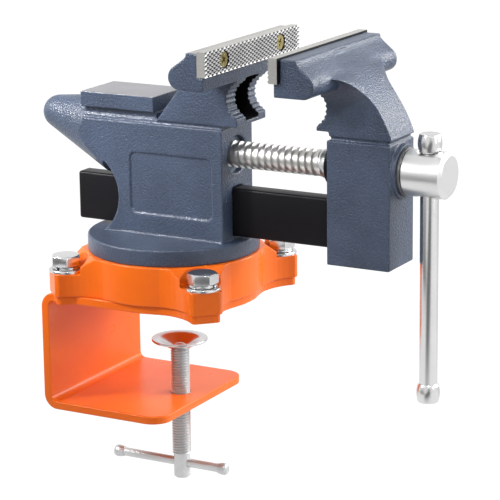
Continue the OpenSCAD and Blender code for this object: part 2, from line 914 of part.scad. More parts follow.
// Lead screw: thread, plain journal and the head with its cross hole
module lead_screw() {
    journal_x = x_block - axial_gap - inner_washer_t - seal_t - collar_l;
    head_x = x_boss + thrust_t + axial_gap;
    cross_x = head_x + screw_head_l / 2;
    color(steel)
        difference() {
            union() {
                along_x(x_thread, z_screw)
                    threaded(screw_d, screw_thread_h, screw_pitch, journal_x - x_thread, 0.42, 0.34);
                along_x(journal_x, z_screw)
                    cylinder(d = journal_d, h = head_x - journal_x);
                along_x(head_x, z_screw)
                    turned(screw_head_d / 2, screw_head_l, head_chamfer);
            }
            translate([cross_x, 0, z_screw - screw_head_d])
                cylinder(d = handle_d + 2 * run_fit, h = 2 * screw_head_d);
            for (up = [0, 1])
                translate([cross_x, 0, z_screw])
                    mirror([0, 0, up])
                        translate([0, 0, screw_head_d / 2 - spot_d])
                            cylinder(r = spot_r, h = screw_head_d);
        }
}

module screw_collar() {
    color(steel)
        along_x(x_block - axial_gap - inner_washer_t - seal_t - collar_l, z_screw)
            difference() {
                cylinder(r1 = collar_neck_r, r2 = collar_r, h = collar_l);
                translate([0, 0, -over])
                    cylinder(d = journal_d, h = collar_l + 2 * over);
            }
}

module retaining_ring() {
    color(black_bar)
        along_x(x_block - axial_gap - inner_washer_t - seal_t, z_screw)
            ring(ring_seal_d / 2, journal_d / 2, seal_t);
}

module inner_washer() {
    color(zinc)
        along_x(x_block - axial_gap - inner_washer_t, z_screw)
            ring(inner_washer_r, journal_d / 2, inner_washer_t);
}

module thrust_washer() {
    color(zinc)
        along_x(x_boss + axial_gap, z_screw)
            ring(thrust_r, journal_d / 2, thrust_t);
}

// Handle: it hangs on its upper knob, which rests on the head's spot face
handle_x = x_boss + thrust_t + axial_gap + screw_head_l / 2;
handle_top = z_screw + screw_head_d / 2 - spot_d + axial_gap + knob_l;

module handle_rod() {
    inner = knob_l - knob_socket_l;
    color(steel)
        translate([handle_x, 0, handle_top - handle_l + inner])
            cylinder(d = handle_d, h = handle_l - 2 * inner);
}

module handle_knob() {
    socket_z = knob_l - knob_socket_l;
    color(steel)
        difference() {
            rotate_extrude()
                polygon([
                    [0, 0], [knob_end_r - edge, 0], [knob_end_r, edge], [knob_d / 2, knob_l * 0.4],
                    [knob_d / 2, knob_l * 0.6], [knob_end_r + edge / 2, knob_l - edge],
                    [knob_end_r, knob_l], [0, knob_l]
                ]);
            translate([0, 0, socket_z])
                cylinder(d = handle_d, h = knob_socket_l + over);
        }
}

module handle_knob_upper() {
    translate([handle_x, 0, handle_top])
        mirror([0, 0, 1])
            handle_knob();
}

module handle_knob_lower() {
    translate([handle_x, 0, handle_top - handle_l])
        handle_knob();
}

// Pad: a pressed dish that opens upwards, loose on the clamp screw's neck
pad_floor_z = -pad_down - pad_rim_rise - pad_dish_h;

module clamp_pad() {
    r = pad_d / 2;
    rim_r = r - pad_rim_w;
    floor_z = pad_floor_z;
    wall_z = floor_z + pad_dish_h;
    color(zinc)
        translate([clamp_x, 0, 0])
            rotate_extrude()
                polygon([
                    [clamp_neck_r + run_fit, floor_z - pad_sheet], [pad_floor_r, floor_z - pad_sheet],
                    [rim_r + pad_sheet / 2, wall_z - pad_sheet], [r, -pad_down - pad_sheet],
                    [r, -pad_down], [rim_r, wall_z], [pad_floor_r - pad_sheet / 2, floor_z],
                    [clamp_neck_r + run_fit, floor_z]
                ]);
}

module clamp_screw() {
    shoulder_z = pad_floor_z - pad_sheet - axial_gap;
    thread_z = clamp_head_up - tbar_down;
    color(steel)
        translate([clamp_x, 0, 0])
            difference() {
                union() {
                    translate([0, 0, thread_z])
                        threaded(clamp_d, clamp_thread_h, clamp_pitch, shoulder_z - thread_z, 0.12, 0.12);
                    translate([0, 0, shoulder_z])
                        cylinder(r = clamp_neck_r, h = pad_floor_z + axial_gap - shoulder_z);
                    translate([0, 0, thread_z])
                        mirror([0, 0, 1])
                            turned(clamp_head_r, clamp_head_up + clamp_head_down, edge);
                }
                along_x(-2 * clamp_head_r, -tbar_down)
                    cylinder(d = tbar_d + 2 * tbar_fit, h = 4 * clamp_head_r);
                translate([0, 0, pad_floor_z + axial_gap - rivet_shank_l])
                    cylinder(r = rivet_shank_r, h = rivet_shank_l + over);
            }
}

module clamp_pad_rivet() {
    seat = pad_floor_z + axial_gap;
    color(steel)
        translate([clamp_x, 0, seat]) {
            turned(rivet_r, rivet_h, edge);
            translate([0, 0, -rivet_shank_l])
                cylinder(r = rivet_shank_r, h = rivet_shank_l + edge);
        }
}

// Cross bar of the clamp screw, which slides in its hole between two knobs
module clamp_tbar_rod() {
    socket = tbar_knob_l / 2;
    color(steel)
        along_x(clamp_x - tbar_off + socket - tbar_l / 2, -tbar_down)
            cylinder(d = tbar_d, h = tbar_l - 2 * socket);
}

module clamp_tbar_knob(side) {
    r = tbar_knob_r;
    h = tbar_knob_l;
    color(steel)
        translate([clamp_x - tbar_off + side * tbar_l / 2, 0, -tbar_down])
            rotate([0, -90 * side, 0])
                difference() {
                    rotate_extrude()
                        polygon([
                            [0, 0], [r * 0.6, 0], [r * 0.9, h * 0.14], [r, h * 0.35], [r, h * 0.6],
                            [r * 0.78, h], [0, h]
                        ]);
                    translate([0, 0, h / 2])
                        cylinder(d = tbar_d, h = h);
                }
}

swivel_base();
clamp_bracket();
for (i = [0:3]) {
    base_bolt(i);
    base_spring_washer(i);
    base_flat_washer(i);
}
fixed_jaw_body();
fixed_jaw_plate();
moving_jaw_casting();
moving_jaw_plate();
for (i = [0, 1]) {
    side = 2 * i - 1;
    plate_screw(x_face - jaw_plate_t, 1, side);
    plate_screw(x_moving_face + jaw_plate_t, -1, side);
    slide_bar_pin(i);
    clamp_tbar_knob(side);
}
lead_nut();
lead_nut_screw();
swivel_bolt();
swivel_washer();
slide_bar();
lead_screw();
screw_collar();
retaining_ring();
inner_washer();
thrust_washer();
handle_rod();
handle_knob_upper();
handle_knob_lower();
clamp_pad();
clamp_screw();
clamp_pad_rivet();
clamp_tbar_rod();
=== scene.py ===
"""Bench vise with an anvil, pipe jaws, a swivel base and an edge clamp, dressed over its CAD frame."""

import logging
import math
from collections.abc import Callable
from dataclasses import dataclass, field
from enum import Enum

import bpy
from mathutils import Matrix, Vector


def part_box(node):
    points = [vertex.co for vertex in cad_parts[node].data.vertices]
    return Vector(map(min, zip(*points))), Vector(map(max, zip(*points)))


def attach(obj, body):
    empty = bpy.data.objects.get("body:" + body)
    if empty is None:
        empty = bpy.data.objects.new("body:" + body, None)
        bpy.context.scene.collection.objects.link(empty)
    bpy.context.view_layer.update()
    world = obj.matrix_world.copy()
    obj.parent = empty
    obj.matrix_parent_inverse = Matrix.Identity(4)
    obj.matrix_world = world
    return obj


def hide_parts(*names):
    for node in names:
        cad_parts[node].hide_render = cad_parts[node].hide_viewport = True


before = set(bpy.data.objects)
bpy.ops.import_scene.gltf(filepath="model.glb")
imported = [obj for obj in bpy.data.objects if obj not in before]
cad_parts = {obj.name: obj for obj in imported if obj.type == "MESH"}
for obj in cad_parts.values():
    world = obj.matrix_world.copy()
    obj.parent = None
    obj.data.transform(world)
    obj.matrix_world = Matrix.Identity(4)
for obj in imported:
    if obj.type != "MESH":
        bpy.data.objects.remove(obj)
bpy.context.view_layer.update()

MM = 0.001
MERGE = 0.002 * MM
FULL_TURN = 2 * math.pi
QUARTER_TURN = math.pi / 2
CRISP = 38.0
CRISP_KNOB = 34.0
CRISP_THREAD = 32.0
RELIEF_SPAN = (0.25, 0.95)
CLOUD_SPAN = (0.3, 0.7)
PEBBLE_SPAN = (0.45, 1.25)
# Outer edges within this pointiness span are lightened, for wear and as a painted highlight.
WORN_AND_HIGHLIT_SPAN = (0.53, 0.60)
# Inner corners within this pointiness span are darkened as painted shade.
CREASE_SHADE_SPAN = (0.46, 0.36)
CREASE_SHADE_DEPTH = 0.4
ORIGIN = Vector()
Point = tuple[float, float]
Place = tuple[float, float, float]
Colour = tuple[float, float, float]
Piece = bpy.types.Object
Tree = bpy.types.NodeTree
Socket = bpy.types.NodeSocket
log = logging.getLogger("vise")


class Body(Enum):
    """The moving bodies of the vise."""

    BASE = "base"
    FIXED_JAW = "fixed_jaw"
    MOVING_JAW = "moving_jaw"
    SCREW = "screw_unit"
    HANDLE = "handle"
    PAD = "pad"
    CLAMP_SCREW = "clamp_screw_unit"
    CROSS_BAR = "clamp_tbar"


class Along(Enum):
    """The axis that a turned or traced piece runs along, as its number."""

    X = 0
    Z = 2


class Relief(Enum):
    """The small relief of a surface."""

    HAMMERED = "hammered"
    ORANGE_PEEL = "orange peel"
    GROUND = "ground"
    TURNED = "turned"
    ROLLED = "rolled"


# Node work


def put(tree: Tree, kind: str, inputs: dict | None = None, **settings) -> bpy.types.Node:
    """Adds a shader node and joins it up.

    Args:
        tree: The node tree that takes the node.
        kind: The node's type without its ShaderNode prefix.
        inputs: Values or sockets for the node's inputs, by name or number.
        **settings: Properties of the node itself.

    Returns:
        The new node.
    """
    node = tree.nodes.new("ShaderNode" + kind)
    for name, value in settings.items():
        setattr(node, name, value)
    for key, value in (inputs or {}).items():
        if isinstance(value, Socket):
            tree.links.new(value, node.inputs[key])
        else:
            node.inputs[key].default_value = value
    return node


def calc(tree: Tree, operation: str, first: object, second: object, clamp: bool = False) -> Socket:
    """Works out a number from two values or sockets, and gives its socket."""
    return put(tree, "Math", {0: first, 1: second}, operation=operation, use_clamp=clamp).outputs[0]


def vector(tree: Tree, operation: str, first: object, second: object = (0, 0, 0)) -> Socket:
    """Works out a vector, or the length of one, and gives its socket."""
    node = put(tree, "VectorMath", {0: first, 1: second}, operation=operation)
    return node.outputs["Value" if operation == "LENGTH" else "Vector"]


def ramp(tree: Tree, value: Socket, span: Point, low: float = 0.0, high: float = 1.0) -> Socket:
    """Carries a span of values to another one, held at both ends, and gives its socket."""
    limits = {"Value": value, "From Min": span[0], "From Max": span[1], "To Min": low, "To Max": high}
    return put(tree, "MapRange", limits).outputs[0]


def new_group(name: str, inputs: dict[str, float], outputs: list[str]) -> tuple[Tree, object, object]:
    """Makes an empty node group with a place input, number inputs and number outputs.

    Args:
        name: The group's name.
        inputs: The number inputs with their starting values.
        outputs: The names of the number outputs.

    Returns:
        The node group, the sockets that it is given and the sockets that it fills.
    """
    group = bpy.data.node_groups.new(name, "ShaderNodeTree")
    group.interface.new_socket("Place", in_out="INPUT", socket_type="NodeSocketVector")
    for key, value in inputs.items():
        group.interface.new_socket(key, in_out="INPUT", socket_type="NodeSocketFloat").default_value = value
    for key in outputs:
        group.interface.new_socket(key, in_out="OUTPUT", socket_type="NodeSocketFloat")
    return group, group.nodes.new("NodeGroupInput").outputs, group.nodes.new("NodeGroupOutput").inputs


class EffectGroups:
    """The effects that several finishes share, each built once as a node group."""

    def __init__(self) -> None:
        """Builds the groups."""
        self.blotch = self._blotch()
        self.edges = self._edges()
        self.reliefs = {
            Relief.HAMMERED: self._hammered(),
            Relief.ORANGE_PEEL: self._skin("orange peel", 2.0, 3.0),
            Relief.GROUND: self._skin("ground lines", 0.4, 4.0, (1.0, 0.06, 1.0)),
            Relief.TURNED: self._skin("turned lines", 0.4, 4.0, (1.0, 0.04, 0.04)),
            Relief.ROLLED: self._skin("rolled skin", 2.0, 8.0),
        }

    @staticmethod
    def _noise(group: Tree, source: object, detail: float, stretch: Place = (1, 1, 1)) -> Socket:
        """Noise of the size that the group is given, drawn into lines where the stretch is small.

        Args:
            group: The group.
            source: The sockets that it is given.
            detail: How fine the noise goes.
            stretch: How fast the noise changes along each axis.

        Returns:
            The noise's socket.
        """
        scale = calc(group, "DIVIDE", 1 / MM, source["Size mm"])
        place = vector(group, "MULTIPLY", source["Place"], stretch)
        return put(group, "TexNoise", {"Vector": place, "Scale": scale, "Detail": detail}).outputs[0]

    @classmethod
    def _blotch(cls) -> Tree:
        """Broad soft clouds, for slow changes of colour and shine.

        Returns:
            The group.
        """
        group, source, target = new_group("blotch", {"Size mm": 20.0}, ["Mask"])
        group.links.new(ramp(group, cls._noise(group, source, 3.0), CLOUD_SPAN), target["Mask"])
        return group

    @staticmethod
    def _edges() -> Tree:
        """Outer edges for wear and painted highlight, broken up by noise; painted shade in inner corners.

        Returns:
            The group.
        """
        group, source, target = new_group("edges", {"Break up": 0.2}, ["Worn", "Crease shade"])
        # Convex edges give the mask for wear and painted highlight; concave corners give the painted shade.
        shape = put(group, "NewGeometry").outputs["Pointiness"]
        noise = put(group, "TexNoise", {"Vector": source["Place"], "Scale": 240.0, "Detail": 4.0}).outputs[0]
        ragged = calc(group, "MULTIPLY", noise, source["Break up"])
        worn_and_highlit = calc(group, "SUBTRACT", ramp(group, shape, WORN_AND_HIGHLIT_SPAN), ragged, clamp=True)
        group.links.new(worn_and_highlit, target["Worn"])
        group.links.new(ramp(group, shape, CREASE_SHADE_SPAN), target["Crease shade"])
        return group

    @classmethod
    def _hammered(cls) -> Tree:
        """Small soft pebbles of hammered enamel.

        Returns:
            The group.
        """
        group, source, target = new_group("hammered", {"Size mm": 1.2}, ["Height"])
        scale = calc(group, "DIVIDE", 1 / MM, source["Size mm"])
        given = {"Vector": source["Place"], "Scale": scale, "Smoothness": 0.6}
        cells = put(group, "TexVoronoi", given, feature="SMOOTH_F1")
        both = calc(group, "ADD", cells.outputs["Distance"], cls._noise(group, source, 2.0))
        group.links.new(ramp(group, both, PEBBLE_SPAN), target["Height"])
        return group

    @classmethod
    def _skin(cls, name: str, size: float, detail: float, stretch: Place = (1, 1, 1)) -> Tree:
        """The skin of a powder coat or a rolled bar, or the fine lines that a wheel or a lathe tool leaves.

        Args:
            name: The group's name.
            size: The size in millimetres that it starts with.
            detail: How fine it goes.
            stretch: Small along the lines.

        Returns:
            The group.
        """
        group, source, target = new_group(name, {"Size mm": size}, ["Height"])
        group.links.new(cls._noise(group, source, detail, stretch), target["Height"])
        return group


@dataclass(frozen=True)
class Finish:
    """One surface finish: colours, shine, relief, edge wear with painted highlight, and painted shade in corners."""

    name: str
    slot: str
    base: Colour
    deep: Colour
    worn_and_highlit: Colour
    relief: Relief
    grain_mm: float
    height_mm: float
    roughness: tuple[float, float]
    metallic: float = 0.0
    specular: float = 0.5
    grain_tint: float = 0.5
    # How much outer edges lighten, for wear and as a painted highlight, and how much inner corners darken as painted
    # shade.
    wear_and_highlight: float = 0.3
    crease_shade: float = 0.2
    blotch_mm: float = 25.0

    def material(self, groups: EffectGroups) -> bpy.types.Material:
        """Builds the node material.

        Args:
            groups: The shared effects.

        Returns:
            The material, ready for a piece's slot.
        """
        made = bpy.data.materials.new(self.name)
        made.use_nodes = True
        tree = made.node_tree
        shader = tree.nodes["Principled BSDF"]
        place = put(tree, "TexCoord").outputs["Object"]
        blotch = put(tree, "Group", node_tree=groups.blotch)
        blotch.inputs["Size mm"].default_value = self.blotch_mm
        relief = put(tree, "Group", node_tree=groups.reliefs[self.relief])
        relief.inputs["Size mm"].default_value = self.grain_mm
        edges = put(tree, "Group", node_tree=groups.edges)
        for node in (blotch, relief, edges):
            tree.links.new(place, node.inputs["Place"])
        height = relief.outputs["Height"]
        cloud = calc(tree, "MULTIPLY", blotch.outputs["Mask"], 1 - self.grain_tint)
        tone = calc(tree, "ADD", ramp(tree, height, RELIEF_SPAN, high=self.grain_tint), cloud, clamp=True)
        colour = self._mix(tree, tone, (*self.deep, 1), (*self.base, 1))
        # Inner corners darken towards a deeper copy of the colour: painted shade.
        crease_shade_colour = (*(CREASE_SHADE_DEPTH * part for part in self.deep), 1)
        colour = self._mix(tree, calc(tree, "MULTIPLY", edges.outputs["Crease shade"], self.crease_shade), colour, crease_shade_colour)
        # Outer edges lighten towards a paler colour: wear, and a painted highlight.
        colour = self._mix(tree, calc(tree, "MULTIPLY", edges.outputs["Worn"], self.wear_and_highlight), colour, (*self.worn_and_highlit, 1))
        tree.links.new(colour, shader.inputs["Base Color"])
        smooth, rough = self.roughness
        tree.links.new(ramp(tree, tone, (0.0, 1.0), rough, smooth), shader.inputs["Roughness"])
        bump = put(tree, "Bump", {"Height": height, "Strength": 1.0, "Distance": self.height_mm * MM})
        tree.links.new(bump.outputs[0], shader.inputs["Normal"])
        shader.inputs["Metallic"].default_value = self.metallic
        shader.inputs["Specular IOR Level"].default_value = self.specular
        made.diffuse_color = (*self.base, 1)
        return made

    @staticmethod
    def _mix(tree: Tree, factor: Socket, low: object, high: object) -> Socket:
        """Mixes two colours or sockets by a factor and gives the result's socket."""
        return put(tree, "Mix", {"Factor": factor, 6: low, 7: high}, data_type="RGBA").outputs[2]


# Each finish lightens its outer edges for wear and as a painted highlight, and darkens its inner corners as painted
# shade.
ENAMEL = Finish("slate_enamel", "paint", (0.060, 0.083, 0.135), (0.026, 0.036, 0.060), (0.28, 0.34, 0.44),
                Relief.HAMMERED, 1.05, 0.22, (0.28, 0.38), specular=0.45, wear_and_highlight=0.4, crease_shade=0.35)
POWDER = Finish("orange_powder_coat", "powder", (0.86, 0.152, 0.004), (0.81, 0.128, 0.003), (0.90, 0.28, 0.06),
                Relief.ORANGE_PEEL, 2.4, 0.02, (0.26, 0.34), specular=0.35, grain_tint=0.3, wear_and_highlight=0.1, crease_shade=0.05)
BLACK = Finish("blackened_bar", "black_steel", (0.008, 0.0075, 0.0095), (0.005, 0.0045, 0.006), (0.10, 0.10, 0.10),
               Relief.ROLLED, 1.6, 0.03, (0.32, 0.44), specular=0.12, wear_and_highlight=0.0)
GROUND = Finish("ground_steel", "plate_steel", (0.36, 0.355, 0.34), (0.30, 0.295, 0.28), (0.55, 0.545, 0.53),
                Relief.GROUND, 0.5, 0.015, (0.36, 0.46), metallic=0.6, wear_and_highlight=0.3)
KNURLED = Finish("knurled_steel", "plate_steel", (0.10, 0.10, 0.10), (0.05, 0.05, 0.05), (0.46, 0.46, 0.455),
                 Relief.ROLLED, 0.6, 0.01, (0.22, 0.3), metallic=0.8, wear_and_highlight=0.55, crease_shade=0.9)
MACHINED = Finish("machined_iron", "paint", (0.26, 0.257, 0.272), (0.21, 0.21, 0.225), (0.40, 0.39, 0.40),
                  Relief.GROUND, 0.45, 0.012, (0.4, 0.5), metallic=0.5, wear_and_highlight=0.3)
TURNED = Finish("turned_steel", "steel", (0.70, 0.70, 0.695), (0.62, 0.62, 0.62), (0.84, 0.84, 0.84),
                Relief.TURNED, 0.35, 0.006, (0.28, 0.36), metallic=1.0, wear_and_highlight=0.3)
THREADED = Finish("rolled_thread", "steel", (0.66, 0.655, 0.64), (0.54, 0.535, 0.52), (0.86, 0.86, 0.85),
                  Relief.ROLLED, 0.8, 0.008, (0.3, 0.4), metallic=0.9, wear_and_highlight=0.4, crease_shade=0.85)
BRIGHT = Finish("bright_bar", "steel", (0.72, 0.72, 0.72), (0.64, 0.64, 0.64), (0.88, 0.88, 0.88),
                Relief.ROLLED, 1.2, 0.004, (0.18, 0.26), metallic=1.0, wear_and_highlight=0.3)
ZINC = Finish("bright_zinc", "zinc", (0.72, 0.725, 0.73), (0.62, 0.625, 0.635), (0.88, 0.88, 0.88),
              Relief.ROLLED, 1.0, 0.008, (0.16, 0.26), metallic=1.0, wear_and_highlight=0.3)
SATIN = Finish("satin_zinc", "zinc", (0.66, 0.665, 0.67), (0.50, 0.505, 0.51), (0.84, 0.84, 0.84),
               Relief.ROLLED, 0.9, 0.008, (0.28, 0.38), metallic=0.7, wear_and_highlight=0.4, crease_shade=1.0)
OILED = Finish("oiled_steel", "zinc", (0.15, 0.15, 0.155), (0.10, 0.10, 0.105), (0.25, 0.25, 0.25),
               Relief.ROLLED, 1.0, 0.01, (0.35, 0.45), metallic=0.5, wear_and_highlight=0.4)
OLIVE = Finish("olive_brass", "brass", (0.42, 0.34, 0.13), (0.30, 0.24, 0.085), (0.62, 0.54, 0.28),
               Relief.ROLLED, 0.8, 0.008, (0.2, 0.3), metallic=0.9, wear_and_highlight=0.5, crease_shade=0.6)


# Bench work: what a hand would do in edit mode

def only(piece: Piece) -> None:
    """Deselects everything, then selects the piece alone and makes it active."""
    bpy.ops.object.select_all(action="DESELECT")
    piece.select_set(True)
    bpy.context.view_layer.objects.active = piece


def edit(piece: Piece, mode: str = "VERT") -> None:
    """Opens the piece in edit mode with all of it selected."""
    only(piece)
    bpy.ops.object.mode_set(mode="EDIT")
    bpy.ops.mesh.select_mode(type=mode)
    bpy.ops.mesh.select_all(action="SELECT")


def close_edit() -> None:
    """Goes back to object mode."""
    bpy.ops.object.mode_set(mode="OBJECT")


def edit_some(piece: Piece, wanted: Callable[[bpy.types.MeshVertex], bool]) -> None:
    """Opens the piece in edit mode with some of its vertices selected.

    Args:
        piece: The piece.
        wanted: Says of a vertex whether it is selected.
    """
    edit(piece)
    bpy.ops.mesh.select_all(action="DESELECT")
    close_edit()
    for vertex in piece.data.vertices:
        vertex.select = wanted(vertex)
    only(piece)
    bpy.ops.object.mode_set(mode="EDIT")


def tidy_shell(piece: Piece) -> None:
    """Merges the piece's doubles and turns its faces outwards."""
    edit(piece)
    bpy.ops.mesh.remove_doubles(threshold=MERGE)
    bpy.ops.mesh.select_all(action="SELECT")
    bpy.ops.mesh.normals_make_consistent(inside=False)
    close_edit()


def modify(piece: Piece, kind: str, **settings) -> None:
    """Adds a modifier and applies it.

    Args:
        piece: The piece.
        kind: The modifier's type.
        **settings: The modifier's settings.
    """
    modifier = piece.modifiers.new(kind.lower(), kind)
    for name, value in settings.items():
        setattr(modifier, name, value)
    only(piece)
    bpy.ops.object.modifier_apply(modifier=modifier.name)


def round_edges(piece: Piece, width: float, segments: int = 2, angle: float = 35) -> None:
    """Bevels each edge sharper than the angle in degrees; the width is in millimetres."""
    modify(piece, "BEVEL", width=width * MM, segments=segments, limit_method="ANGLE",
           angle_limit=math.radians(angle), use_clamp_overlap=True)


def soften(piece: Piece, voxel: float, passes: int) -> None:
    """Turns the piece into even faces of a size in millimetres and rubs its edges round."""
    modify(piece, "REMESH", mode="VOXEL", voxel_size=voxel * MM, use_smooth_shade=True)
    modify(piece, "SMOOTH", factor=0.5, iterations=passes)


def cut(piece: Piece, *tools: Piece) -> None:
    """Cuts the tools out of the piece and throws them away."""
    for tool in tools:
        modify(piece, "BOOLEAN", object=tool, operation="DIFFERENCE", solver="EXACT")
        bpy.data.objects.remove(tool)


def join(piece: Piece, *others: Piece) -> None:
    """Joins the others' shells to the piece."""
    only(piece)
    for other in others:
        other.select_set(True)
    bpy.ops.object.join()


def placed(piece: Piece, matrix: Matrix) -> Piece:
    """Moves the piece by a matrix and applies it, so that its place is in its mesh.

    Args:
        piece: The piece.
        matrix: Its turn and place.

    Returns:
        The same piece.
    """
    only(piece)
    piece.matrix_world = matrix
    bpy.ops.object.transform_apply(location=True, rotation=True, scale=True)
    return piece


def copied(piece: Piece, name: str, matrix: Matrix) -> Piece:
    """Copies the piece with a mesh of its own and places the copy.

    Args:
        piece: The pattern.
        name: The copy's name.
        matrix: The copy's turn and place.

    Returns:
        The copy.
    """
    twin = piece.copy()
    twin.data = piece.data.copy()
    twin.name = name
    bpy.context.scene.collection.objects.link(twin)
    return placed(twin, matrix)


def arc(centre: Point, radius: float, start: float, end: float, steps: int) -> list[Point]:
    """Points of an arc; the angles are in degrees, counted from the first axis."""
    angles = (math.radians(start + (end - start) * step / steps) for step in range(steps + 1))
    return [(centre[0] + radius * math.cos(a), centre[1] + radius * math.sin(a)) for a in angles]


def traced(name: str, points: list[Vector], closed: bool) -> Piece:
    """Draws a wire through points, by extruding one vertex from each to the next.

    Args:
        name: The piece's name.
        points: The places in metres.
        closed: Whether the wire ends where it began.

    Returns:
        The piece, left in edit mode with its wire selected.
    """
    bpy.ops.object.select_all(action="DESELECT")
    bpy.ops.mesh.primitive_plane_add(size=MM)
    piece = bpy.context.object
    piece.name = name
    edit(piece)
    bpy.ops.mesh.merge(type="CENTER")
    bpy.ops.transform.translate(value=points[0])
    stops = points + points[:1] if closed else points
    for here, there in zip(stops, stops[1:]):
        bpy.ops.mesh.extrude_vertices_move(TRANSFORM_OT_translate={"value": there - here})
    bpy.ops.mesh.select_all(action="SELECT")
    bpy.ops.mesh.remove_doubles(threshold=MERGE)
    bpy.ops.mesh.select_all(action="SELECT")
    return piece


def turned(name: str, profile: list[Point], centre: Vector = ORIGIN, along: Along = Along.Z, closed: bool = False,
           steps: int = 96) -> Piece:
    """Turns a profile round its axis.

    Args:
        name: The piece's name.
        profile: Radius and height of each point, in millimetres.
        centre: Where the axis has height zero, in metres.
        along: The way that the axis runs.
        closed: Whether the profile is a closed loop clear of the axis.
        steps: The number of faces round the axis.

    Returns:
        The turned piece.
    """
    upright = along is Along.Z
    points = [centre + Vector((r, 0, h) if upright else (h, 0, r)) * MM for r, h in profile]
    piece = traced(name, points, closed)
    bpy.ops.mesh.spin(steps=steps, angle=FULL_TURN, center=centre, axis=(0, 0, 1) if upright else (1, 0, 0))
    close_edit()
    tidy_shell(piece)
    return piece


def drum(name: str, radius: float, span: Point, centre: Vector, along: Along, steps: int = 96) -> Piece:
    """Turns a plain drum from one height to another, in millimetres, as a drill or as a start for more work."""
    low, high = span
    return turned(name, [(0, low), (radius, low), (radius, high), (0, high)], centre, along, steps=steps)


def prism(name: str, outline: list[Point], span: Point) -> Piece:
    """Fills an outline and extrudes it along X.

    Args:
        name: The piece's name.
        outline: Y and Z of each point, in millimetres.
        span: Where it begins and ends along X, in millimetres.

    Returns:
        The closed prism.
    """
    piece = traced(name, [Vector((span[0], y, z)) * MM for y, z in outline], closed=True)
    bpy.ops.mesh.edge_face_add()
    bpy.ops.mesh.extrude_region_move(TRANSFORM_OT_translate={"value": ((span[1] - span[0]) * MM, 0, 0)})
    close_edit()
    tidy_shell(piece)
    return piece


def block(name: str, low: Place, high: Place) -> Piece:
    """Adds a box between two corners in millimetres, as a start for more work.

    Args:
        name: The piece's name.
        low: Its lowest corner.
        high: Its highest corner.

    Returns:
        The box.
    """
    bpy.ops.object.select_all(action="DESELECT")
    low, high = Vector(low) * MM, Vector(high) * MM
    bpy.ops.mesh.primitive_cube_add(size=1, location=(low + high) / 2, scale=high - low)
    piece = bpy.context.object
    piece.name = name
    bpy.ops.object.transform_apply(location=True, rotation=True, scale=True)
    return piece


def threaded(name: str, radius: float, depth: float, pitch: float, span: Point, crest: float, root: float,
             centre: Vector, along: Along) -> Piece:
    """Winds one pitch's profile into a thread and saws its ends square.

    Args:
        name: The piece's name.
        radius: The thread's outer radius in millimetres.
        depth: Its depth in millimetres.
        pitch: Its rise in one turn, in millimetres.
        span: Where it begins and ends on its axis, in millimetres from the centre.
        crest: The crest's share of the pitch.
        root: The root's share of the pitch.
        centre: A place on its axis, in metres.
        along: The way that it runs.

    Returns:
        The closed thread.
    """
    flank = pitch * (1 - crest - root) / 2
    inner = radius - depth
    heights = (0, root * pitch, root * pitch + flank, pitch - flank, pitch)
    start = span[0] - pitch
    wire = [Vector((r, 0, start + h)) * MM for r, h in zip((inner, inner, radius, radius, inner), heights)]
    piece = traced(name, wire, closed=False)
    close_edit()
    turns = math.ceil((span[1] - span[0]) / pitch) + 2
    modify(piece, "SCREW", axis="Z", angle=FULL_TURN, screw_offset=pitch * MM, iterations=turns, steps=48,
           render_steps=48, use_merge_vertices=True, merge_threshold=MERGE)
    tidy_shell(piece)
    for height, upper in zip(span, (False, True)):
        edit(piece)
        bpy.ops.mesh.bisect(plane_co=(0, 0, height * MM), plane_no=(0, 0, 1), use_fill=True,
                            clear_outer=upper, clear_inner=not upper)
        close_edit()
    tidy_shell(piece)
    turn = Matrix.Rotation(QUARTER_TURN, 4, "Y") if along is Along.X else Matrix.Identity(4)
    return placed(piece, Matrix.Translation(centre) @ turn)


class Rack:
    """The finishes' materials, each made once when it is first asked for."""

    groups: EffectGroups | None = None
    made: dict[str, bpy.types.Material] = {}

    @classmethod
    def material(cls, finish: Finish) -> bpy.types.Material:
        """The material of a finish.

        Args:
            finish: The finish.

        Returns:
            Its material.
        """
        if cls.groups is None:
            cls.groups = EffectGroups()
        if finish.name not in cls.made:
            cls.made[finish.name] = finish.material(cls.groups)
        return cls.made[finish.name]


def dress(piece: Piece, finish: Finish, body: Body, *nodes: str, crisp: float | None = None) -> Piece:
    """Gives a piece its finish and its body, and hides the CAD nodes that it stands for.

    Args:
        piece: The finished mesh.
        finish: Its finish.
        body: The body that it rides on.
        *nodes: The CAD nodes that it replaces.
        crisp: Where it is shaded here, the angle in degrees past which its edges stay crisp.

    Returns:
        The same piece.
    """
    if crisp is not None:
        only(piece)
        bpy.ops.object.shade_smooth_by_angle(angle=math.radians(crisp))
    piece.data.materials.clear()
    piece.data.materials.append(Rack.material(finish))
    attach(piece, body.value)
    if nodes:
        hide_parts(*nodes)
    log.info("%s: %d faces on %s", piece.name, len(piece.data.polygons), body.value)
    return piece


def refinish(piece: Piece, finish: Finish, wanted: Callable[[bpy.types.MeshPolygon], bool]) -> None:
    """Gives some faces of a dressed piece another finish.

    Args:
        piece: The piece.
        finish: The other finish.
        wanted: Says of a face whether it takes it.
    """
    index = len(piece.data.materials)
    piece.data.materials.append(Rack.material(finish))
    for face in piece.data.polygons:
        if wanted(face):
            face.material_index = index


def carried_over(node: str, finish: Finish) -> None:
    """Gives a CAD node that stays its finish, through its object's own slots."""
    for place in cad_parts[node].material_slots:
        place.link = "OBJECT"
        place.material = Rack.material(finish)
    log.info("%s: carried over", node)


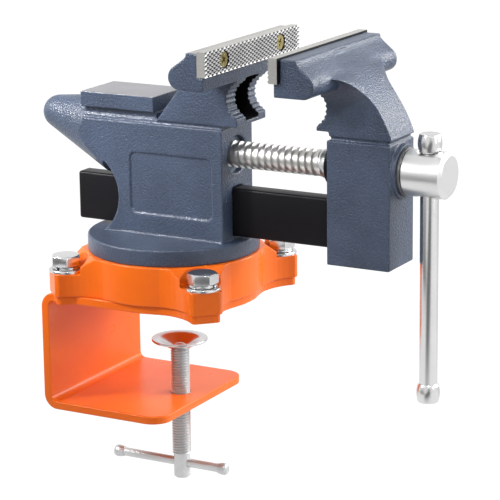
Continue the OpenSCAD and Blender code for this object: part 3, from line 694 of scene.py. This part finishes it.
def axis_of(node: str, along: Along) -> tuple[Vector, float, float]:
    """Measures a round node.

    Args:
        node: The node's name.
        along: The way that its axis runs.

    Returns:
        The axis's lower end in metres, and the node's radius and length in millimetres.
    """
    low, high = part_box(node)
    foot, size = (low + high) / 2, (high - low) / MM
    foot[along.value] = low[along.value]
    return foot, (size.x if along is Along.Z else size.z) / 2, size[along.value]


def round_bar(node: str, finish: Finish, body: Body, along: Along, edge: float, steps: int = 48) -> Piece:
    """Makes a plain round bar of its node's size, with its ends' edges broken.

    Args:
        node: The node that it replaces.
        finish: Its finish.
        body: The body that it rides on.
        along: The way that it runs.
        edge: The radius of its ends' edges in millimetres.
        steps: The number of faces round it.

    Returns:
        The dressed bar.
    """
    foot, radius, length = axis_of(node, along)
    piece = drum(node + "_made", radius, (0, length), foot, along, steps)
    round_edges(piece, edge)
    return dress(piece, finish, body, node, crisp=CRISP)


def knob(node: str, profile: list[Point], side: int, finish: Finish, body: Body, along: Along, steps: int) -> Piece:
    """Turns the knob on one end of a bar.

    Args:
        node: The node that it replaces.
        profile: Radius and distance from the knob's outer face of each point, in millimetres.
        side: 1 on the bar's upper end, -1 on its lower end.
        finish: Its finish.
        body: The body that it rides on.
        along: The way that the bar runs.
        steps: The number of faces round it.

    Returns:
        The dressed knob.
    """
    face = axis_of(node, along)[0]
    face[along.value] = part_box(node)[side > 0][along.value]
    piece = turned(node + "_made", [(r, -side * h) for r, h in profile], face, along, steps=steps)
    return dress(piece, finish, body, node, crisp=CRISP_KNOB)


# The vise


@dataclass
class Casting:
    """A cast or pressed solid: the frame's shape with its edges run soft, as a mould leaves them; in millimetres."""

    node: str
    finish: Finish
    body: Body
    voxel: float = 0.48
    passes: int = 7
    faces: int = 185000
    rub_passes: int = 160
    rub_margins: tuple[float, ...] = (0.0, 1.5, 3.0, 4.5)
    rub_lean: float = 0.55

    def build(self, cuts: tuple = (), fills: tuple = (), smooth_out: tuple = ()) -> Piece:
        """Copies the node's shell, works on it and softens it.

        Args:
            cuts: Tools to take out of it first.
            fills: Closed shells to run into it, such as fillets.
            smooth_out: Lowest and highest corner of a place where shapes run into each other.

        Returns:
            The dressed casting.
        """
        piece = bpy.data.objects.new(self.node + "_cast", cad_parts[self.node].data.copy())
        bpy.context.scene.collection.objects.link(piece)
        tidy_shell(piece)
        cut(piece, *cuts)
        if fills:
            join(piece, *fills)
        soften(piece, self.voxel * (1), self.passes)
        if smooth_out:
            self.rub_down(piece, *smooth_out)
        triangles = 2 * len(piece.data.polygons)
        if triangles > self.faces:
            modify(piece, "DECIMATE", ratio=self.faces / triangles)
        for face in piece.data.polygons:
            face.use_smooth = True
        modify(piece, "WEIGHTED_NORMAL", weight=50, keep_sharp=False)
        return dress(piece, self.finish, self.body, self.node)

    def rub_down(self, piece: Piece, low: Place, high: Place) -> None:
        """Rubs down what lies in a box and faces up or along X, hard in the middle and less around it.

        Args:
            piece: The casting.
            low: The box's lowest corner, its Y as a distance from the middle.
            high: Its highest corner.
        """
        repeat = self.rub_passes // 1
        for margin in self.rub_margins:
            def wanted(vertex: bpy.types.MeshVertex, grow: float = margin) -> bool:
                """Whether a vertex is rubbed down."""
                place = Vector((vertex.co.x, abs(vertex.co.y), vertex.co.z)) / MM
                inside = all(a - grow <= b <= c + grow for a, b, c in zip(low, place, high))
                return inside and vertex.normal.x + vertex.normal.z > self.rub_lean

            edit_some(piece, wanted)
            bpy.ops.mesh.vertices_smooth(factor=0.5, repeat=repeat)
            close_edit()
            repeat = max(2, repeat // 3)


@dataclass
class BaseFasteners:
    """The four bolts of the base with their washers; sizes in millimetres."""

    across_flats: float = 16.6
    head_height: float = 6.4
    head_edge: float = 0.18
    shank_radius: float = 5.0
    flat_radius: float = 10.6
    flat_thickness: float = 1.8
    flat_roll: float = 0.6
    spring_radius: float = 8.6
    spring_thickness: float = 2.0
    spring_turn: float = 348
    bore: float = 5.4
    chamfer: float = 0.9
    first_turn: float = 25
    turn_step: float = 83

    def bolt(self, length: float) -> Piece:
        """A hexagon bolt that stands on its shank, head seat at height zero.

        Args:
            length: The shank's length.

        Returns:
            The bolt, as a pattern.
        """
        height, rim = self.head_height, self.across_flats / 2
        corner = rim / math.cos(math.radians(30))
        bpy.ops.object.select_all(action="DESELECT")
        bpy.ops.mesh.primitive_cylinder_add(vertices=6, radius=corner * MM, depth=height * MM,
                                            location=(0, 0, height * MM / 2))
        head = bpy.context.object
        head.name = "bolt_pattern"
        placed(head, head.matrix_world.copy())
        lens = turned("chamfer_tool", [(0, height), (rim - 0.3, height), (corner + 0.2, height - 1.0),
                                       (corner + 0.2, 0.5), (rim - 0.4, 0), (0, 0)])
        modify(head, "BOOLEAN", object=lens, operation="INTERSECT", solver="EXACT")
        bpy.data.objects.remove(lens)
        round_edges(head, self.head_edge, angle=20)
        end = 0.3 - length
        join(head, turned("shank", [(0, 0.4), (self.shank_radius, 0.4), (self.shank_radius, end + self.chamfer),
                                    (self.shank_radius - self.chamfer, end), (0, end)]))
        return head

    def flat_washer(self) -> Piece:
        """A stamped washer: rolled over at its upper rim, square below.

        Returns:
            The washer, as a pattern.
        """
        top, roll = self.flat_thickness, self.flat_roll
        ring = [(self.bore, 0), (self.flat_radius - 0.15, 0), (self.flat_radius, 0.15)]
        ring += arc((self.flat_radius - roll, top - roll), roll, 0, 90, 4)
        ring += [(self.bore + 0.2, top), (self.bore, top - 0.2)]
        return turned("flat_washer_pattern", ring, closed=True)

    def spring_washer(self) -> Piece:
        """A split washer: a square wire wound a little short of one turn, its ends cut and staggered.

        Returns:
            The washer, as a pattern.
        """
        outer, inner, low, high = self.spring_radius, self.bore + 0.1, 0.1, self.spring_thickness - 0.35
        wire = [Vector((r, 0, h)) * MM for r, h in ((inner, low), (outer, low), (outer, high), (inner, high))]
        piece = traced("spring_washer_pattern", wire, closed=True)
        close_edit()
        modify(piece, "SCREW", axis="Z", angle=math.radians(self.spring_turn), screw_offset=0.3 * MM, steps=72,
               render_steps=72)
        edit(piece, "EDGE")
        bpy.ops.mesh.select_all(action="DESELECT")
        bpy.ops.mesh.select_non_manifold()
        bpy.ops.mesh.fill_holes(sides=0)
        close_edit()
        tidy_shell(piece)
        round_edges(piece, 0.2)
        return piece

    def build(self) -> None:
        """Places a bolt and its two washers at each lug."""
        under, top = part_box("base_bolt_1")
        seat = top.z - self.head_height * MM
        patterns = {"base_bolt": self.bolt((seat - under.z) / MM), "base_flat_washer": self.flat_washer(),
                    "base_spring_washer": self.spring_washer()}
        for number in range(1, 5):
            turn = Matrix.Rotation(math.radians(self.first_turn + self.turn_step * number), 4, "Z")
            for kind, pattern in patterns.items():
                node = f"{kind}_{number}"
                spot = axis_of(node, Along.Z)[0]
                if kind == "base_bolt":
                    spot.z = seat
                made = copied(pattern, node + "_made", Matrix.Translation(spot) @ turn)
                dress(made, ZINC, Body.BASE, node, crisp=CRISP)
        for pattern in patterns.values():
            bpy.data.objects.remove(pattern)


@dataclass
class BaseUnit:
    """Swivel base casting and the bent clamp bracket under it."""

    fasteners: BaseFasteners = field(default_factory=BaseFasteners)

    def build(self) -> None:
        """Builds the casting, the bracket and the fasteners."""
        Casting("swivel_base", POWDER, Body.BASE, passes=4).build()
        Casting("clamp_bracket", POWDER, Body.BASE, passes=4).build()
        self.fasteners.build()


@dataclass
class JawPlate:
    """A flat jaw plate with its diamond knurl and two countersunk screws; sizes in millimetres."""

    node: str
    screws: tuple[str, str]
    body: Body
    facing: int
    diamond_length: float = 4.8
    diamond_height: float = 2.46
    knurl_depth: float = 0.75
    rows: int = 34
    hole_radius: float = 3.2
    head_radius: float = 4.8
    rim_radius: float = 5.25
    head_sink: float = 1.1
    shank_radius: float = 3.0
    recess_width: float = 1.3
    recess_reach: float = 2.9
    recess_taper: Place = (0.45, 0.7, 1)
    recess_turns: Point = (35, 68)
    lean: Point = (0.3, 0.985)
    level: float = 0.9
    slack: float = 0.05

    def __post_init__(self) -> None:
        """Finds the plate's box, the places of its face and back, and the turn of what looks out of its face."""
        self.low, self.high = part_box(self.node)
        self.middle = (self.low + self.high) / 2
        self.face_x, self.back_x = (self.high.x, self.low.x) if self.facing > 0 else (self.low.x, self.high.x)
        self.stand = Matrix.Rotation(QUARTER_TURN * self.facing, 4, "Y")

    def plate(self) -> Piece:
        """Pokes a grid of diamonds into pyramids, saws it to the plate's size and draws its border back.

        Returns:
            The plate, not yet drilled.
        """
        bpy.ops.object.select_all(action="DESELECT")
        bpy.ops.mesh.primitive_grid_add(x_subdivisions=self.rows, y_subdivisions=self.rows, size=self.rows)
        piece = bpy.context.object
        piece.name = self.node + "_knurled"
        spot = Vector((self.face_x - self.facing * self.knurl_depth * MM, *self.middle.yz))
        sides = (side * MM / math.sqrt(2) for side in (self.diamond_height, self.diamond_length))
        placed(piece, Matrix.Rotation(QUARTER_TURN / 2, 4, "Z"))
        placed(piece, Matrix.Translation(spot) @ self.stand @ Matrix.Diagonal((*sides, 1, 1)))
        edit(piece, "FACE")
        bpy.ops.mesh.poke(offset=self.knurl_depth * MM)
        close_edit()
        for corner, way in ((self.low, -1), (self.high, 1)):
            for axis in ((0, 1, 0), (0, 0, 1)):
                edit(piece)
                bpy.ops.mesh.bisect(plane_co=corner, plane_no=Vector(axis) * way, clear_outer=True)
                close_edit()
        edit(piece, "EDGE")
        bpy.ops.mesh.region_to_loop()
        bpy.ops.mesh.extrude_edges_move(TRANSFORM_OT_translate={"value": (self.back_x - self.face_x, 0, 0)})
        bpy.ops.transform.resize(value=(0, 1, 1), center_override=(self.back_x, *self.middle.yz))
        bpy.ops.mesh.edge_face_add()
        close_edit()
        tidy_shell(piece)
        return piece

    def screw(self, length: float) -> Piece:
        """A countersunk screw with a cross recess, its head's face at height zero.

        Args:
            length: Its length under its head's face.

        Returns:
            The screw, as a pattern.
        """
        cone, half, reach = self.head_radius - self.shank_radius, self.recess_width / 2, self.recess_reach
        outer, inner = self.head_radius, self.shank_radius
        piece = turned("plate_screw_pattern", [(0, 0), (outer - 0.25, 0), (outer, -0.25), (inner, -cone),
                                               (inner, 0.5 - length), (inner - 0.5, -length), (0, -length)], steps=48)
        for turn in (0, QUARTER_TURN):
            tool = block("recess_tool", (-reach, -half, -cone), (reach, half, 1))
            edit_some(tool, lambda vertex: vertex.co.z < 0)
            bpy.ops.transform.resize(value=self.recess_taper, center_override=(0, 0, -cone * MM))
            close_edit()
            cut(piece, placed(tool, Matrix.Rotation(turn, 4, "Z")))
        return piece

    def build(self) -> None:
        """Builds the plate, countersinks its holes and sets the screws."""
        piece = self.plate()
        pattern = self.screw(axis_of(self.screws[0], Along.X)[2] - self.head_sink)
        cone, rim, hole = self.hole_radius - self.rim_radius - 0.3, self.rim_radius, self.hole_radius
        spots = []
        for turn, node in zip(self.recess_turns, self.screws):
            spot = axis_of(node, Along.X)[0]
            spot.x = self.face_x - self.facing * self.head_sink * MM
            spots.append(spot)
            lie = Matrix.Translation(spot) @ self.stand
            sink = turned("countersink_tool", [(0, 3), (rim, 3), (rim, -0.3), (hole, cone), (hole, -9), (0, -9)],
                          steps=48)
            cut(piece, placed(sink, lie))
            made = copied(pattern, node + "_made", lie @ Matrix.Rotation(math.radians(turn), 4, "Z"))
            dress(made, OLIVE, self.body, node, crisp=CRISP)
        bpy.data.objects.remove(pattern)
        dress(piece, GROUND, self.body, self.node)
        back_of_knurl = self.face_x - self.facing * (self.knurl_depth + self.slack) * MM
        # The plate's back and the countersinks' walls take the black finish as painted shade.
        refinish(piece, BLACK, lambda face: face.normal.x * self.facing < -self.level
                 or min((face.center.yz - spot.yz).length for spot in spots) < (rim + self.slack) * MM)
        refinish(piece, KNURLED, lambda face: self.lean[0] < abs(face.normal.x) < self.lean[1]
                 and (face.center.x - back_of_knurl) * self.facing > 0)


@dataclass
class FixedJaw:
    """The fixed casting, its anvil table, its jaw plate and the nut hidden in it; sizes in millimetres."""

    node: str = "fixed_jaw_body"
    anvil_front: float = -1.5
    anvil_back: float = -53.0
    anvil_low: float = 116.0
    anvil_high: float = 125.2
    half_width: float = 19.0
    edge_round: float = 0.5
    room: float = 5.0
    fillet: float = 1.1
    throat_low: Place = (37.0, -6.5, 114.0)
    throat_high: Place = (70.0, 8.6, 139.2)
    throat_slack: float = 0.45
    head_top: float = 160.0
    head_level: float = 0.9
    table_level: float = 0.8
    disc_top: float = 39.5
    body_front: float = 45.5
    body_back: float = -26.0

    def anvil(self) -> None:
        """The anvil's table: painted sides and a machined top."""
        piece = block("anvil_table", (self.anvil_back, -self.half_width, self.anvil_low),
                      (self.anvil_front, self.half_width, self.anvil_high))
        soften(piece, self.edge_round, 4)
        modify(piece, "WEIGHTED_NORMAL", weight=50, keep_sharp=False)
        dress(piece, ENAMEL, Body.FIXED_JAW)
        refinish(piece, MACHINED, lambda face: face.normal.z > self.table_level)

    def foot_fillets(self) -> tuple[Piece, ...]:
        """Fillets where the body stands on the disc, as bars that the casting takes in.

        Returns:
            The bar on each side.
        """
        made = []
        for side in (-1, 1):
            y, z, leg = side * self.half_width, self.disc_top, self.fillet
            inner, outer = y - side, y + side * leg
            corner = [(inner, z - 1), (outer, z - 1), (outer, z), (y, z + leg), (inner, z + leg)]
            made.append(prism("foot_fillet", corner, (self.body_back, self.body_front)))
        return tuple(made)

    def paints_throat_shade(self, face: bpy.types.MeshPolygon) -> bool:
        """Whether a face is a wall of the throat, given the black finish as painted shade of the deep hollow: its back,
        a side, its floor or its roof.

        Args:
            face: A face of the casting.

        Returns:
            Whether it is.
        """
        back, *others = ((p / MM - a, b - p / MM) for a, p, b in zip(self.throat_low, face.center, self.throat_high))
        gaps = [back[0], *(gap for pair in others for gap in pair)]
        return min(*gaps, back[1]) > -self.throat_slack and min(gaps) < self.throat_slack

    def build(self) -> None:
        """Builds the casting with its fillets, the table, the plate and the hidden parts' finishes."""
        side = self.half_width + self.room + 1
        room = block("table_room", (self.anvil_back - self.room, -side, self.anvil_low),
                     (self.anvil_front + 0.1, side, self.anvil_high + self.room))
        throat = block("throat_room", self.throat_low, self.throat_high)
        piece = Casting(self.node, ENAMEL, Body.FIXED_JAW).build(cuts=(room, throat), fills=self.foot_fillets())
        # The head's top faces take the lighter ground-steel finish: ground metal, and a painted reflection of grazing
        # light on the top.
        refinish(piece, GROUND, lambda face: (face.normal.z > self.head_level
                                              and face.center.z > self.head_top * MM))
        # The throat's walls take the black finish: painted shade in the deep hollow.
        refinish(piece, BLACK, self.paints_throat_shade)
        self.anvil()
        JawPlate("fixed_jaw_plate", ("fixed_plate_screw_1", "fixed_plate_screw_2"), Body.FIXED_JAW, 1).build()
        for node, finish in {"lead_nut": ENAMEL, "lead_nut_screw": BRIGHT, "swivel_bolt": ZINC,
                             "swivel_washer": ZINC}.items():
            carried_over(node, finish)


@dataclass
class MovingJaw:
    """The moving casting with its plate, its slide bar and the bar's pins; sizes in millimetres."""

    node: str = "moving_jaw_casting"
    pins: tuple[str, str] = ("slide_bar_pin_1", "slide_bar_pin_2")
    bar_round: float = 1.6
    pin_round: float = 0.5
    run_out: tuple[Place, Place] = ((104.0, 11.0, 134.0), (140.0, 46.0, 158.5))

    def slide_bar(self) -> None:
        """A flat bar with its rolled edges, drilled for its two pins."""
        piece = block("slide_bar_made", *(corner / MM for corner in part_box("slide_bar")))
        round_edges(piece, self.bar_round, 3)
        for node in self.pins:
            foot, radius, length = axis_of(node, Along.Z)
            cut(piece, turned("drill_tool", [(0, -1), (radius, -1), (radius, length), (0, length)], foot, Along.Z,
                              steps=32))
        dress(piece, BLACK, Body.MOVING_JAW, "slide_bar", crisp=CRISP)

    def build(self) -> None:
        """Builds the casting, the plate, the bar and the pins."""
        Casting(self.node, ENAMEL, Body.MOVING_JAW).build(smooth_out=self.run_out)
        JawPlate("moving_jaw_plate", ("moving_plate_screw_1", "moving_plate_screw_2"), Body.MOVING_JAW, -1).build()
        self.slide_bar()
        for node in self.pins:
            round_bar(node, BRIGHT, Body.MOVING_JAW, Along.Z, self.pin_round)


@dataclass
class ScrewUnit:
    """The lead screw with its head, collar, ring and washers; sizes in millimetres."""

    thread_radius: float = 8.1
    thread_depth: float = 1.7
    pitch: float = 4.5
    crest: float = 0.4
    root: float = 0.3
    thread_length: float = 117.1
    journal_radius: float = 8.4
    head_length: float = 25.5
    head_radius: float = 13.8
    head_chamfer: float = 2.0
    cross_radius: float = 5.55
    spot_radius: float = 7.4
    spot_depth: float = 1.6

    def head(self, foot: Vector, length: float) -> Piece:
        """The journal and the head, drilled through for the handle and spot-faced on both sides.

        Args:
            foot: The screw's inner end.
            length: The screw's length.

        Returns:
            The head.
        """
        r, c, start, end = self.head_radius, self.head_chamfer, length - self.head_length, self.thread_length - 1
        profile = [(0, end), (self.journal_radius, end), (self.journal_radius, start), (r - 0.6, start),
                   (r, start + 0.6), (r, length - c), (r - c, length), (0, length)]
        piece = turned("screw_head", profile, foot, Along.X, steps=128)
        middle = foot + Vector((length - self.head_length / 2, 0, 0)) * MM
        reach, near = 2 * r, r - self.spot_depth
        tools = [drum("cross_drill", self.cross_radius, (-reach, reach), middle, Along.Z)]
        for side in (-1, 1):
            tools.append(drum("spot_drill", self.spot_radius, (side * near, side * reach), middle, Along.Z))
        cut(piece, *tools)
        round_edges(piece, 0.3, angle=30)
        return piece

    def screw(self) -> None:
        """The thread, its journal and the drilled head, in one piece."""
        foot, _, length = axis_of("lead_screw", Along.X)
        piece = threaded("lead_screw_made", self.thread_radius, self.thread_depth, self.pitch,
                         (0.6, self.thread_length), self.crest, self.root, foot, Along.X)
        core = self.thread_radius - self.thread_depth
        tip = turned("screw_tip", [(0, 0), (core - 1, 0), (core - 0.1, 0.9), (core - 0.1, 3), (0, 3)], foot, Along.X)
        join(piece, self.head(foot, length), tip)
        dress(piece, TURNED, Body.SCREW, "lead_screw", crisp=CRISP_THREAD)
        refinish(piece, THREADED, lambda face: face.center.x < foot.x + self.thread_length * MM)

    def ring(self, node: str, edge: float, finish: Finish, taper: float = 0.0) -> None:
        """A ring or washer round the journal, as wide and thick as its node.

        Args:
            node: The node that it replaces.
            edge: The radius of its edges.
            finish: Its finish.
            taper: How much its radius is smaller at its inner end.
        """
        foot, radius, width = axis_of(node, Along.X)
        inner = self.journal_radius
        loop = [(inner, 0), (radius - taper, 0), (radius, width), (inner, width)]
        piece = turned(node + "_made", loop, foot, Along.X, closed=True)
        round_edges(piece, edge, 3)
        dress(piece, finish, Body.SCREW, node, crisp=CRISP)

    def build(self) -> None:
        """Builds the screw and what sits on its journal."""
        self.screw()
        self.ring("screw_collar", 0.2, TURNED, taper=1.3)
        self.ring("retaining_ring", 0.7, BLACK)
        self.ring("inner_washer", 0.25, ZINC)
        self.ring("thrust_washer", 0.3, OILED)


@dataclass
class Handle:
    """The handle's rod and its two barrel knobs; sizes in millimetres."""

    rod_chamfer: float = 0.6
    knob_length: float = 11.5
    end_radius: float = 6.3
    belly_radius: float = 7.1
    socket: float = 7.0
    steps: int = 96

    def build(self) -> None:
        """Builds the rod, and both knobs with a flat end, a swollen middle and a neck that meets the rod."""
        round_bar("handle_rod", BRIGHT, Body.HANDLE, Along.Z, self.rod_chamfer, self.steps)
        rod, length, end = axis_of("handle_rod", Along.Z)[1], self.knob_length, self.end_radius
        barrel = [(end + (self.belly_radius - end) * math.sin(math.pi * step / 10), (0.07 + 0.086 * step) * length)
                  for step in range(11)]
        profile = [(0, 0), (end - 0.9, 0), (end - 0.25, 0.25), *barrel, (rod, length), (rod, length - self.socket),
                   (0, length - self.socket)]
        for node, side in (("handle_knob_upper", 1), ("handle_knob_lower", -1)):
            knob(node, profile, side, BRIGHT, Body.HANDLE, Along.Z, self.steps)


@dataclass
class EdgeClamp:
    """The clamp screw with its pad, rivet and cross bar; sizes in millimetres."""

    thread_radius: float = 6.0
    thread_depth: float = 0.95
    pitch: float = 1.75
    crest: float = 0.12
    root: float = 0.12
    neck_radius: float = 4.0
    head_radius: float = 5.2
    head_length: float = 16.5
    cross_radius: float = 2.85
    pad_sheet: float = 1.5
    pad_rim: float = 4.6
    pad_floor: float = 5.6
    rivet_radius: float = 5.0
    rivet_height: float = 2.0
    rivet_shank: float = 2.5
    bar_edge: float = 0.3
    steps: int = 48
    knob_shape: tuple[Point, ...] = ((0.3, 0), (0.62, 0.02), (0.84, 0.1), (0.96, 0.24), (1, 0.42), (0.97, 0.62),
                                     (0.88, 0.84), (0.79, 1))

    def pad(self) -> None:
        """A pressed dish that opens upwards, with a rolled rim."""
        foot, radius, height = axis_of("clamp_pad", Along.Z)
        sheet, rim, shelf, hole = self.pad_sheet, radius - self.pad_rim, height - 0.8, self.neck_radius + 0.05
        loop = [(hole, 0), (self.pad_floor, 0), (rim + sheet / 2, shelf - sheet), (radius, height - sheet),
                (radius, height), (rim, shelf), (self.pad_floor - sheet / 2, sheet), (hole, sheet)]
        piece = turned("clamp_pad_made", loop, foot, Along.Z, closed=True)
        round_edges(piece, 0.6, 3, 12)
        dress(piece, ZINC, Body.PAD, "clamp_pad", crisp=50)

    def screw(self) -> None:
        """The clamp screw: thread, neck for the pad and the drilled head."""
        foot, _, length = axis_of("clamp_screw", Along.Z)
        shoulder = (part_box("clamp_pad")[0].z - foot.z) / MM - 0.1
        r, h, neck, shank = self.head_radius, self.head_length, self.neck_radius, self.rivet_shank
        piece = threaded("clamp_screw_made", self.thread_radius, self.thread_depth, self.pitch,
                         (h - 0.5, shoulder), self.crest, self.root, foot, Along.Z)
        neck = turned("clamp_neck", [(0, shoulder - 2), (neck, shoulder - 2), (neck, length), (shank, length),
                                     (shank, length - 7), (0, length - 7)], foot, Along.Z)
        head = turned("clamp_head", [(0, 0), (r - 0.9, 0), (r, 0.9), (r, h - 0.6), (r - 0.6, h + 0.2), (0, h + 0.2)],
                      foot, Along.Z)
        hole = Vector((foot.x, 0, axis_of("clamp_tbar_rod", Along.X)[0].z))
        cut(head, drum("cross_drill", self.cross_radius, (-3 * r, 3 * r), hole, Along.X, self.steps))
        join(piece, neck, head)
        dress(piece, SATIN, Body.CLAMP_SCREW, "clamp_screw", crisp=CRISP_THREAD)

    def rivet(self) -> None:
        """The rivet's domed head and its shank in the screw."""
        foot, _, length = axis_of("clamp_pad_rivet", Along.Z)
        r, h = self.rivet_radius, self.rivet_height
        ball = (r * r + h * h) / (2 * h)
        dome = arc((0, length - ball), ball, 90 - math.degrees(math.asin(r / ball)), 90, 8)
        profile = [(0, 0), (self.rivet_shank, 0), (self.rivet_shank, length - h), *dome]
        piece = turned("clamp_pad_rivet_made", profile, foot, Along.Z, steps=self.steps)
        dress(piece, ZINC, Body.CLAMP_SCREW, "clamp_pad_rivet", crisp=CRISP)

    def cross_bar(self) -> None:
        """The cross bar and its two knobs."""
        round_bar("clamp_tbar_rod", SATIN, Body.CROSS_BAR, Along.X, self.bar_edge)
        rod = axis_of("clamp_tbar_rod", Along.X)[1]
        for node, side in (("clamp_tbar_knob_1", -1), ("clamp_tbar_knob_2", 1)):
            _, radius, length = axis_of(node, Along.X)
            profile = [(0, 0), *((radius * a, length * b) for a, b in self.knob_shape), (rod, length),
                       (rod, length / 2), (0, length / 2)]
            knob(node, profile, side, SATIN, Body.CROSS_BAR, Along.X, self.steps)

    def build(self) -> None:
        """Builds the pad, the screw, the rivet and the cross bar."""
        self.pad()
        self.screw()
        self.rivet()
        self.cross_bar()


# The studio


@dataclass(frozen=True)
class Flag:
    """A dark card that only mirrors see: the way to it, its reach that way, and the light that it leaves."""

    way: Place
    reach: Place
    level: float


@dataclass(frozen=True)
class SoftBox:
    """One lamp: where it hangs and aims, its width and height, its power in watts and its grid's spread in degrees."""

    name: str
    spot: Place
    aim: Place
    size: Point
    power: float
    spread: float = 180

    def hang(self) -> None:
        """Hangs the lamp."""
        light = bpy.data.lights.new(self.name, "AREA")
        light.shape, light.energy, light.spread = "RECTANGLE", self.power, math.radians(self.spread)
        light.size, light.size_y = self.size
        box = bpy.data.objects.new(self.name, light)
        turn = (Vector(self.aim) - Vector(self.spot)).to_track_quat("-Z", "Y").to_matrix().to_4x4()
        box.matrix_world = Matrix.Translation(Vector(self.spot)) @ turn
        bpy.context.scene.collection.objects.link(box)


@dataclass
class Studio:
    """Camera, lamps, floor and surroundings; lengths in metres, angles in degrees."""

    eye: Place = (0.7055, -1.1716, 0.3767)
    azimuth: float = 29.096
    elevation: float = 14.393
    roll: float = -0.679
    lens: float = 164.7
    floor_height: float = -0.15
    floor_radius: float = 8
    floor_grey: float = 0.5
    floor_rough: float = 0.8
    floor_glow: float = 0.88
    room_light: float = 0.62
    eye_level: float = 0.1
    flag_edge: Point = (0.55, 1.05)
    flags: tuple[Flag, ...] = (
        Flag((0.52, -0.78, -0.3), (0.34, 0.9, 0.6), 0.12),
        Flag((-0.2, -0.9, -0.39), (0.6, 0.9, 0.12), 0.12),
        Flag((-0.5, -0.82, -0.2), (0.5, 0.6, 0.3), 0.3),
        Flag((0.45, 0.88, 0.0), (0.8, 0.6, 0.9), 0.72),
    )
    boxes: tuple[SoftBox, ...] = (
        SoftBox("key_box", (0.85, 0.75, 0.55), (0.06, 0, 0.08), (0.8, 0.8), 20),
        SoftBox("right_box", (1.0, -0.1, 0.32), (0.06, 0, 0.06), (0.2, 0.45), 0.8),
        SoftBox("left_box", (-0.45, -0.42, 0.55), (-0.09, 0, 0.14), (0.2, 0.2), 0.46, 28),
        SoftBox("head_box", (-0.2, -0.8, 0.6), (0.07, -0.02, 0.17), (0.15, 0.15), 0.04, 14),
        SoftBox("crown_box", (0.47, -0.47, 1.03), (0.13, 0, 0.15), (0.15, 0.15), 0.06, 16),
    )

    def camera(self) -> None:
        """Sets the camera where the photograph was taken from."""
        turn, lift, tilt = (math.radians(a) for a in (self.azimuth, self.elevation, self.roll))
        back = Vector((math.sin(turn) * math.cos(lift), -math.cos(turn) * math.cos(lift), math.sin(lift)))
        level = Vector((math.cos(turn), math.sin(turn), 0))
        upright = back.cross(level)
        right = level * math.cos(tilt) + upright * math.sin(tilt)
        up = upright * math.cos(tilt) - level * math.sin(tilt)
        lens = bpy.data.cameras.new("photo_camera")
        lens.lens, lens.sensor_width = self.lens, 36
        camera = bpy.data.objects.new("photo_camera", lens)
        camera.matrix_world = Matrix.Translation(Vector(self.eye)) @ Matrix((right, up, back)).transposed().to_4x4()
        bpy.context.scene.collection.objects.link(camera)
        bpy.context.scene.camera = camera

    def background(self, tree: Tree, place: str) -> tuple[Socket, Socket]:
        """The white that surrounds the object, with a darker studio in front of it for what metal mirrors.

        Args:
            tree: The node tree of the floor or the room.
            place: The texture coordinate that gives the way from the object.

        Returns:
            Sockets with 1 where the background itself is seen, and with its level.
        """
        rays = put(tree, "LightPath").outputs
        height = self.eye_level if place == "Object" else 0.0
        way = vector(tree, "SUBTRACT", put(tree, "TexCoord").outputs[place], (0, 0, height))
        way = vector(tree, "NORMALIZE", way)
        level = 1.0
        for flag in self.flags:
            aside = vector(tree, "DIVIDE", vector(tree, "SUBTRACT", way, flag.way), flag.reach)
            level = calc(tree, "MULTIPLY", level, ramp(tree, vector(tree, "LENGTH", aside), self.flag_edge, flag.level))
        straight = calc(tree, "MAXIMUM", rays["Is Camera Ray"], rays["Is Transmission Ray"])
        seen = calc(tree, "MAXIMUM", straight, rays["Is Glossy Ray"])
        return seen, calc(tree, "MAXIMUM", straight, level)

    def floor(self) -> None:
        """A pale round floor, white to the camera but for the shadow that falls on it, and clear from below."""
        bpy.ops.object.select_all(action="DESELECT")
        bpy.ops.mesh.primitive_circle_add(vertices=96, radius=self.floor_radius, fill_type="NGON",
                                          location=(0, 0, self.floor_height))
        disc = bpy.context.object
        disc.name = "studio_floor"
        bpy.ops.object.transform_apply(location=True, rotation=True, scale=True)
        paint = bpy.data.materials.new("pale_floor")
        paint.use_nodes = True
        tree = paint.node_tree
        shader = tree.nodes["Principled BSDF"]
        shader.inputs["Base Color"].default_value = (*[self.floor_grey] * 3, 1)
        shader.inputs["Roughness"].default_value = self.floor_rough
        seen, level = self.background(tree, "Object")
        white = calc(tree, "MULTIPLY", level, 1 / self.floor_glow)
        glow = put(tree, "Emission", {"Color": (1, 1, 1, 1), "Strength": white})
        share = calc(tree, "MULTIPLY", seen, self.floor_glow)
        above = put(tree, "MixShader", {0: share, 1: shader.outputs[0], 2: glow.outputs[0]})
        clear = put(tree, "BsdfTransparent").outputs[0]
        under = put(tree, "NewGeometry").outputs["Backfacing"]
        mix = put(tree, "MixShader", {0: under, 1: above.outputs[0], 2: clear})
        tree.links.new(mix.outputs[0], tree.nodes["Material Output"].inputs["Surface"])
        disc.data.materials.append(paint)

    def surroundings(self) -> None:
        """A white room, at a plain level for the light that it sheds."""
        world = bpy.data.worlds.new("white_room")
        world.use_nodes = True
        bpy.context.scene.world = world
        tree = world.node_tree
        tree.nodes.clear()
        seen, level = self.background(tree, "Generated")
        strength = calc(tree, "MULTIPLY", ramp(tree, seen, (0.0, 1.0), self.room_light), level)
        sky = put(tree, "Background", {"Color": (1, 1, 1, 1), "Strength": strength})
        tree.links.new(sky.outputs[0], put(tree, "OutputWorld").inputs["Surface"])

    def build(self) -> None:
        """Sets the stage."""
        bpy.context.scene.view_settings.view_transform = "Standard"
        self.camera()
        self.floor()
        self.surroundings()
        for box in self.boxes:
            box.hang()


def main() -> None:
    """Builds the vise and its studio."""
    logging.basicConfig(level=logging.INFO, format="%(name)s %(message)s")
    for unit in (BaseUnit(), FixedJaw(), MovingJaw(), ScrewUnit(), Handle(), EdgeClamp(), Studio()):
        unit.build()
        log.info("%s is done", type(unit).__name__)


if __name__ == "__main__":
    main()
